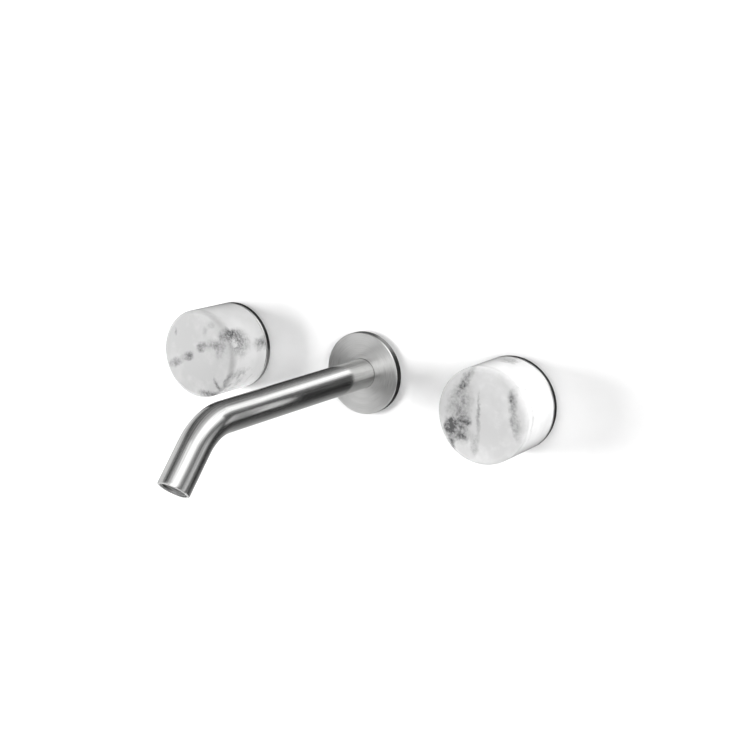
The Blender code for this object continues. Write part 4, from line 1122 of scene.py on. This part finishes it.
fixing_places = [Vector((x, y, 0)) for x in (-WALL_FIXING_ALONG, WALL_FIXING_ALONG)
                 for y in (-WALL_FIXING_UP, WALL_FIXING_UP)]
carve(rail, *[mesh_from(lathe(countersink, 48), "hole", WALL @ Matrix.Translation(place))
              for place in screw_places],
      *[mesh_from(rod(WALL_FIXING_HOLE, rail_back - OVERRUN, rail_front + OVERRUN, 48), "hole",
                  WALL @ Matrix.Translation(place)) for place in fixing_places])
finish_piece(rail, FINISHES["rail_steel"], FIXED, "rail_steel", "mounting_rail")

screw_back, screw_tip = reach("hot_body_screw_left")
HEAD_EDGE = 0.15 * MM
SOCKET_RADIUS, SOCKET_DEPTH = 1.7 * MM, 1.6 * MM
screw_outline = [(0, screw_tip), (SCREW_RADIUS - 0.5 * MM, screw_tip), (SCREW_RADIUS, screw_tip - 0.5 * MM),
                 (SCREW_RADIUS, screw_back + SCREW_HEAD - SCREW_RADIUS),
                 (SCREW_HEAD, screw_back + HEAD_EDGE), (SCREW_HEAD - HEAD_EDGE, screw_back),
                 (0, screw_back)]
one_screw = link_object("one_screw", mesh_from(lathe(screw_outline, 40), "screw"))
socket = bmesh.new()
bmesh.ops.create_cone(socket, cap_ends=True, segments=6, radius1=SOCKET_RADIUS, radius2=SOCKET_RADIUS,
                      depth=2 * SOCKET_DEPTH)
bmesh.ops.translate(socket, vec=(0, 0, screw_back), verts=socket.verts)
carve(one_screw, mesh_from(socket, "socket"))

tree, given, out = new_geometry_tree("screw_on_each_point", Screw="Object")
screw_info = add(tree, "GeometryNodeObjectInfo", {"Object": given["Screw"]})
placed = add(tree, "GeometryNodeInstanceOnPoints", {
    "Points": add(tree, "GeometryNodeMeshToPoints", {"Mesh": given["Geometry"]}),
    "Instance": screw_info.outputs["Geometry"]})
end_tree(tree, placed, FINISHES["fastener_steel"], out["Geometry"])
place_mesh = bpy.data.meshes.new("screw_places")
place_mesh.from_pydata(screw_places, [], [])
screws = link_object("countersunk_screws", place_mesh)
run_geometry_tree(screws, tree, {"Screw": one_screw})
bpy.data.objects.remove(one_screw)
screws.data.transform(WALL)
finish_piece(screws, FINISHES["fastener_steel"], FIXED, "fastener_steel",
             *[f"{side}_body_screw_{place}" for side in SIDES for place in ("left", "right")])

# %% [markdown]
# ## The pieces that keep their engineering shape
#
# The spindles, discs, seals, hubs and set screws are small and hidden, and their shape is already
# right. They stay as the frame brought them, and only get the finish that the record names.

# %% Give every remaining node its finish
replaced = {node for obj in bpy.data.objects for node in obj.get("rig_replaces", [])}
kept_nodes = [part for part in frame["record"]["subparts"] if part["node"] not in replaced]
for part in kept_nodes:
    node = frame["nodes"][part["node"]]
    node.data.materials.clear()
    node.data.materials.append(FINISHES[part["material_slot"]])
print(len(kept_nodes), "nodes keep their shape,", len(replaced), "are replaced")
